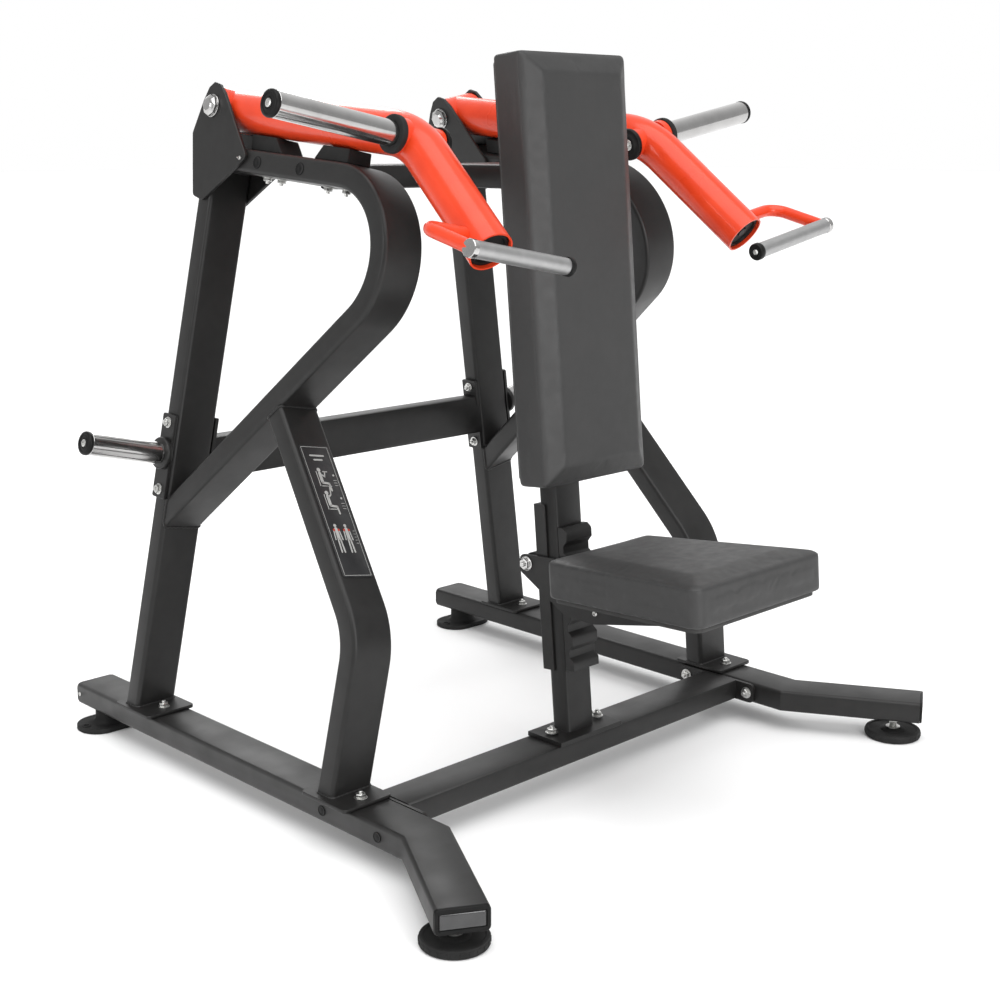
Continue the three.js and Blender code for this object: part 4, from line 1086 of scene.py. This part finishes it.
def build_pad(pad, node, body, cap, board_thickness, board_inset):
    """Cushion, its seam welt and the board behind it."""
    piece = mesh_piece(pad.name, pad.solid(), LEATHER)

    def hold(before, move, normal):
        """Keeps the back edge on its board and lets nothing sink below the start shape."""
        depth = (before - pad.origin).dot(pad.out)
        move -= normal * min(0.0, move.dot(normal)) * 0.9
        return move * smooth_step(depth / 0.012)

    inflate(piece, hold, cap)
    if not piece.data.materials:
        piece.data.materials.append(LEATHER)
    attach(piece, body)
    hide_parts(node)
    seam = bmesh.new()
    loop = [pad.place(a * 0.9985, (b - pad.length / 2) * 0.9992 + pad.length / 2, pad.wall - 0.0035)
            for a, b in pad.border()]
    skin = BVHTree.FromObject(piece, bpy.context.evaluated_depsgraph_get())
    spaced = [skin.find_nearest(point)[0] for point in resample(loop, 0.006)]
    rings = []
    for i, point in enumerate(spaced):
        tangent = (spaced[(i + 1) % len(spaced)] - spaced[i - 1]).normalized()
        first, second = frame_of(tangent, pad.out)
        rings.append([point + first * a + second * b for a, b in circle(0.0007, 6)])
    add_rings(seam, rings, closed=True)
    finish_mesh(f"{pad.name}_seam", seam, THREAD, body, (), 80)
    board = bmesh.new()
    outline = [(a * (1 - board_inset / max(pad.half_widths)),
                (b - pad.length / 2) * (1 - 2 * board_inset / pad.length)) for a, b in pad.border()]
    slab(board, outline, pad.origin + pad.along * pad.length / 2 - pad.out * board_thickness,
         pad.across, pad.along, board_thickness + 0.002, 0.0012)
    finish_mesh(f"{pad.name}_board", board, BOARD, body)


def build_pads():
    half = MAST_DEPTH / 2 + 0.0003
    board = 0.009
    back = Pad("backrest_cushion", on_mast(0, -half - board, 0.563), (ACROSS, MAST_UP, -MAST_REAR),
               (0.1575, 0.1575), 0.870, (0.008, 0.008), (0.084 - board, 0.108 - board), (0.043, 0.043))
    build_pad(back, "backrest_pad", "frame", 0.0018, board, 0.012)
    slope = math.radians(4.9)
    along = Vector((0, -math.cos(slope), math.sin(slope)))
    out = Vector((0, math.sin(slope), math.cos(slope)))
    thickness = 0.0935
    rear_top = Vector((0, ROW_SHIFT - 0.995, 0.531))
    origin = rear_top - out * (thickness - board)
    seat = Pad("seat_cushion", origin, (-ACROSS, along, out), (0.1575, 0.205), 0.4305, (0.012, 0.022),
               (0.0885 - board, 0.1015 - board), (0.056, 0.056))
    build_pad(seat, "seat_pad", "seat", 0.0018, board, 0.012)


# ---- instruction placard ----
def stroke(mesh_data, start, end, width, place):
    """A flat bar with round ends, raised from the plate."""
    run = Vector(end) - Vector(start)
    heading = math.atan2(run.y, run.x)
    outline = []
    for tip, turn in ((end, -math.pi / 2), (start, math.pi / 2)):
        for step in range(7):
            angle = heading + turn + math.pi * step / 6
            outline.append((tip[0] + width / 2 * math.cos(angle), tip[1] + width / 2 * math.sin(angle)))
    rings = [[place(a, b, height) for a, b in outline] for height in (0.0, 0.00035)]
    add_rings(mesh_data, rings)


def dot(mesh_data, centre, radius, place):
    outline = [(centre[0] + a, centre[1] + b) for a, b in circle(radius, 24)]
    add_rings(mesh_data, [[place(a, b, height) for a, b in outline] for height in (0.0, 0.00035)])


def build_placard(side):
    """Plate on the front of the leg: border, plain bars and generic seated figures."""
    climb = side.along(0, math.cos(LEG_ANGLE), math.sin(LEG_ANGLE))
    face = side.along(0, -math.sin(LEG_ANGLE), math.cos(LEG_ANGLE))
    start = side.at(0, *LEG_VERTEX)
    middle = start + climb * 0.268 + face * (TUBE[1] / 2 + 0.0003)
    width, height, thickness = 0.076, 0.305, 0.0016
    right = climb.cross(face).normalized()
    if right.dot(ACROSS) < 0:
        right = -right

    def place(a, b, lift):
        return middle + right * a + climb * b + face * (thickness + lift)

    plate_mesh = bmesh.new()
    outline = rounded_rectangle(width, height, 0.005, 5)
    rings = []
    for inset, lift in ((0, -thickness), (0, -0.0004), (0.0006, 0.0)):
        rings.append([place(a * (1 - inset / 0.038), b * (1 - inset / 0.15), lift) for a, b in outline])
    add_rings(plate_mesh, rings)
    finish_mesh("placard_plate", plate_mesh, SIGN_DARK, "frame")
    marks = bmesh.new()
    w, h = width / 2 - 0.004, height / 2 - 0.004
    border = ((-w, -h), (w, -h), (w, h), (-w, h))
    for near, far in zip(border, border[1:] + border[:1]):
        stroke(marks, near, far, 0.0009, place)
    stroke(marks, (-0.017, 0.128), (0.017, 0.128), 0.0040, place)
    stroke(marks, (-0.010, 0.118), (0.010, 0.118), 0.0040, place)
    for base, lift in ((0.060, 0.0), (0.006, 0.020)):
        seated_figure(marks, (-0.008, base), lift, place)
        dot(marks, (0.026, base + 0.022), 0.0024, place)
        for row in range(3):
            level = base + 0.010 - row * 0.006
            stroke(marks, (0.022, level), (0.030, level), 0.0010, place)
    reds = bmesh.new()
    for offset in (-0.016, 0.010):
        standing_figure(marks, reds, (offset, -0.078), place)
    for row in range(5):
        stroke(marks, (0.026, -0.048 - row * 0.007), (0.031, -0.048 - row * 0.007), 0.0009, place)
    finish_mesh("placard_marks", marks, SIGN_LIGHT, "frame")
    finish_mesh("placard_muscles", reds, SIGN_RED, "frame")


def figure(marks, origin, head, strokes, place):
    """A head and the bars of a body, given as (start, end, width) from the origin."""
    x, y = origin
    dot(marks, (x, y + head[0]), head[1], place)
    for start, end, width in strokes:
        stroke(marks, (x + start[0], y + start[1]), (x + end[0], y + end[1]), width, place)


def seated_figure(marks, origin, lift, place):
    elbow, hand = (0.010, 0.018 + lift * 0.6), (0.014, 0.030 + lift)
    figure(marks, origin, (0.034, 0.0046), (
        ((0, 0.026), (0, 0.006), 0.0075), ((0, 0.004), (0.016, 0.002), 0.0050),
        ((0.016, 0.002), (0.017, -0.014), 0.0042), ((-0.008, 0.030), (-0.008, -0.004), 0.0018),
        ((-0.004, -0.004), (0.014, -0.004), 0.0018), ((0.002, 0.024), elbow, 0.0034), (elbow, hand, 0.0028),
        ((hand[0] - 0.005, hand[1]), (hand[0] + 0.006, hand[1]), 0.0020)), place)


def standing_figure(marks, reds, origin, place):
    figure(marks, origin, (0.042, 0.0036), (
        ((0, 0.034), (0, 0.014), 0.0085), ((-0.003, 0.012), (-0.004, -0.018), 0.0036),
        ((0.003, 0.012), (0.004, -0.018), 0.0036), ((-0.007, 0.032), (-0.009, 0.010), 0.0026),
        ((0.007, 0.032), (0.009, 0.010), 0.0026)), place)

    def lifted(a, b, height):
        return place(a, b, height + 0.0004)

    for offset in (-0.006, 0.006):
        dot(reds, (origin[0] + offset, origin[1] + 0.032), 0.0028, lifted)


# ---- studio ----
CAMERA_PLACE = (-2.3955, -3.1357 + ROW_SHIFT, 1.3668)
CAMERA_HEADING, CAMERA_PITCH = math.radians(-44.12), math.radians(-12.73)


def build_studio():
    """Floor, surroundings, lights and the camera."""
    floor_mesh = bmesh.new()
    reach = 60.0
    corners = ((-1, -1), (1, -1), (1, 1), (-1, 1))
    add_rings(floor_mesh, [[Vector((x * reach, y * reach, level)) for x, y in corners]
                           for level in (-0.02, -0.0004)])
    shader = Shader("floor", 0.9, 0.8, Specular_IOR_Level=0.2)
    shader.vary_roughness(shader.noise(3, 3), 0.7, 0.8)
    mesh_piece("floor", floor_mesh, shader.material)
    world = bpy.data.worlds.new("studio")
    bpy.context.scene.world = world
    world.use_nodes = True
    surround(world.node_tree, (0.69, 0.72, 0.0))
    area_light("front", (-1.0, -4.2, 1.7), 1.8, 60)
    area_light("side", (-3.6, 0.6, 2.2), 1.2, 22)
    area_light("rim", (1.6, 3.2, 3.0), 1.6, 40)
    data = bpy.data.lights.new("overhead", "SUN")
    data.energy = 2.6
    data.angle = math.radians(70)
    linked("overhead", data).rotation_euler = (math.radians(18), math.radians(-14), 0)
    bpy.context.scene.view_settings.view_transform = "Standard"
    camera = bpy.data.cameras.new("camera")
    camera.lens = 56.35
    camera.sensor_width = 36
    camera.shift_x = 0.01175
    camera.shift_y = -0.0066
    camera.clip_end = 200
    eye = linked("camera", camera)
    level = math.cos(CAMERA_PITCH)
    forward = Vector((-math.sin(CAMERA_HEADING) * level, math.cos(CAMERA_HEADING) * level,
                      math.sin(CAMERA_PITCH)))
    eye.location = CAMERA_PLACE
    eye.rotation_euler = forward.to_track_quat("-Z", "Y").to_euler()
    bpy.context.scene.camera = eye


def surround(tree, ahead):
    """A white backdrop ahead of the camera that fades to a dimmer room behind it."""
    place = tree.nodes.new("ShaderNodeTexCoord").outputs["Generated"]
    facing = tree.nodes.new("ShaderNodeVectorMath")
    facing.operation = "DOT_PRODUCT"
    facing.inputs[1].default_value = ahead
    tree.links.new(place, facing.inputs[0])
    fade = tree.nodes.new("ShaderNodeValToRGB")
    for element, position, level in zip(fade.color_ramp.elements, (0.0, 0.8), (0.45, 1.0)):
        element.position = position
        element.color = (level, level, level, 1)
    tree.links.new(facing.outputs["Value"], fade.inputs["Fac"])
    tree.links.new(fade.outputs["Color"], tree.nodes["Background"].inputs["Color"])


def area_light(name, place, size, power):
    """A square light aimed at the middle of the machine."""
    data = bpy.data.lights.new(name, "AREA")
    data.energy = power
    data.size = size
    light = linked(name, data)
    light.location = place
    light.rotation_euler = (Vector((0, 0, 0.9)) - Vector(place)).to_track_quat("-Z", "Y").to_euler()


# ---- assembly ----
SIDE_FRAMES = [SideFrame(label, sign) for label, sign in SIDES]
for side_frame in SIDE_FRAMES:
    build_base(side_frame)
    build_side_frame(side_frame)
    build_arm(side_frame)
build_crossbeams(SIDE_FRAMES)
build_mast()
build_seat_mechanism()
build_pads()
build_placard(SIDE_FRAMES[0])
build_studio()
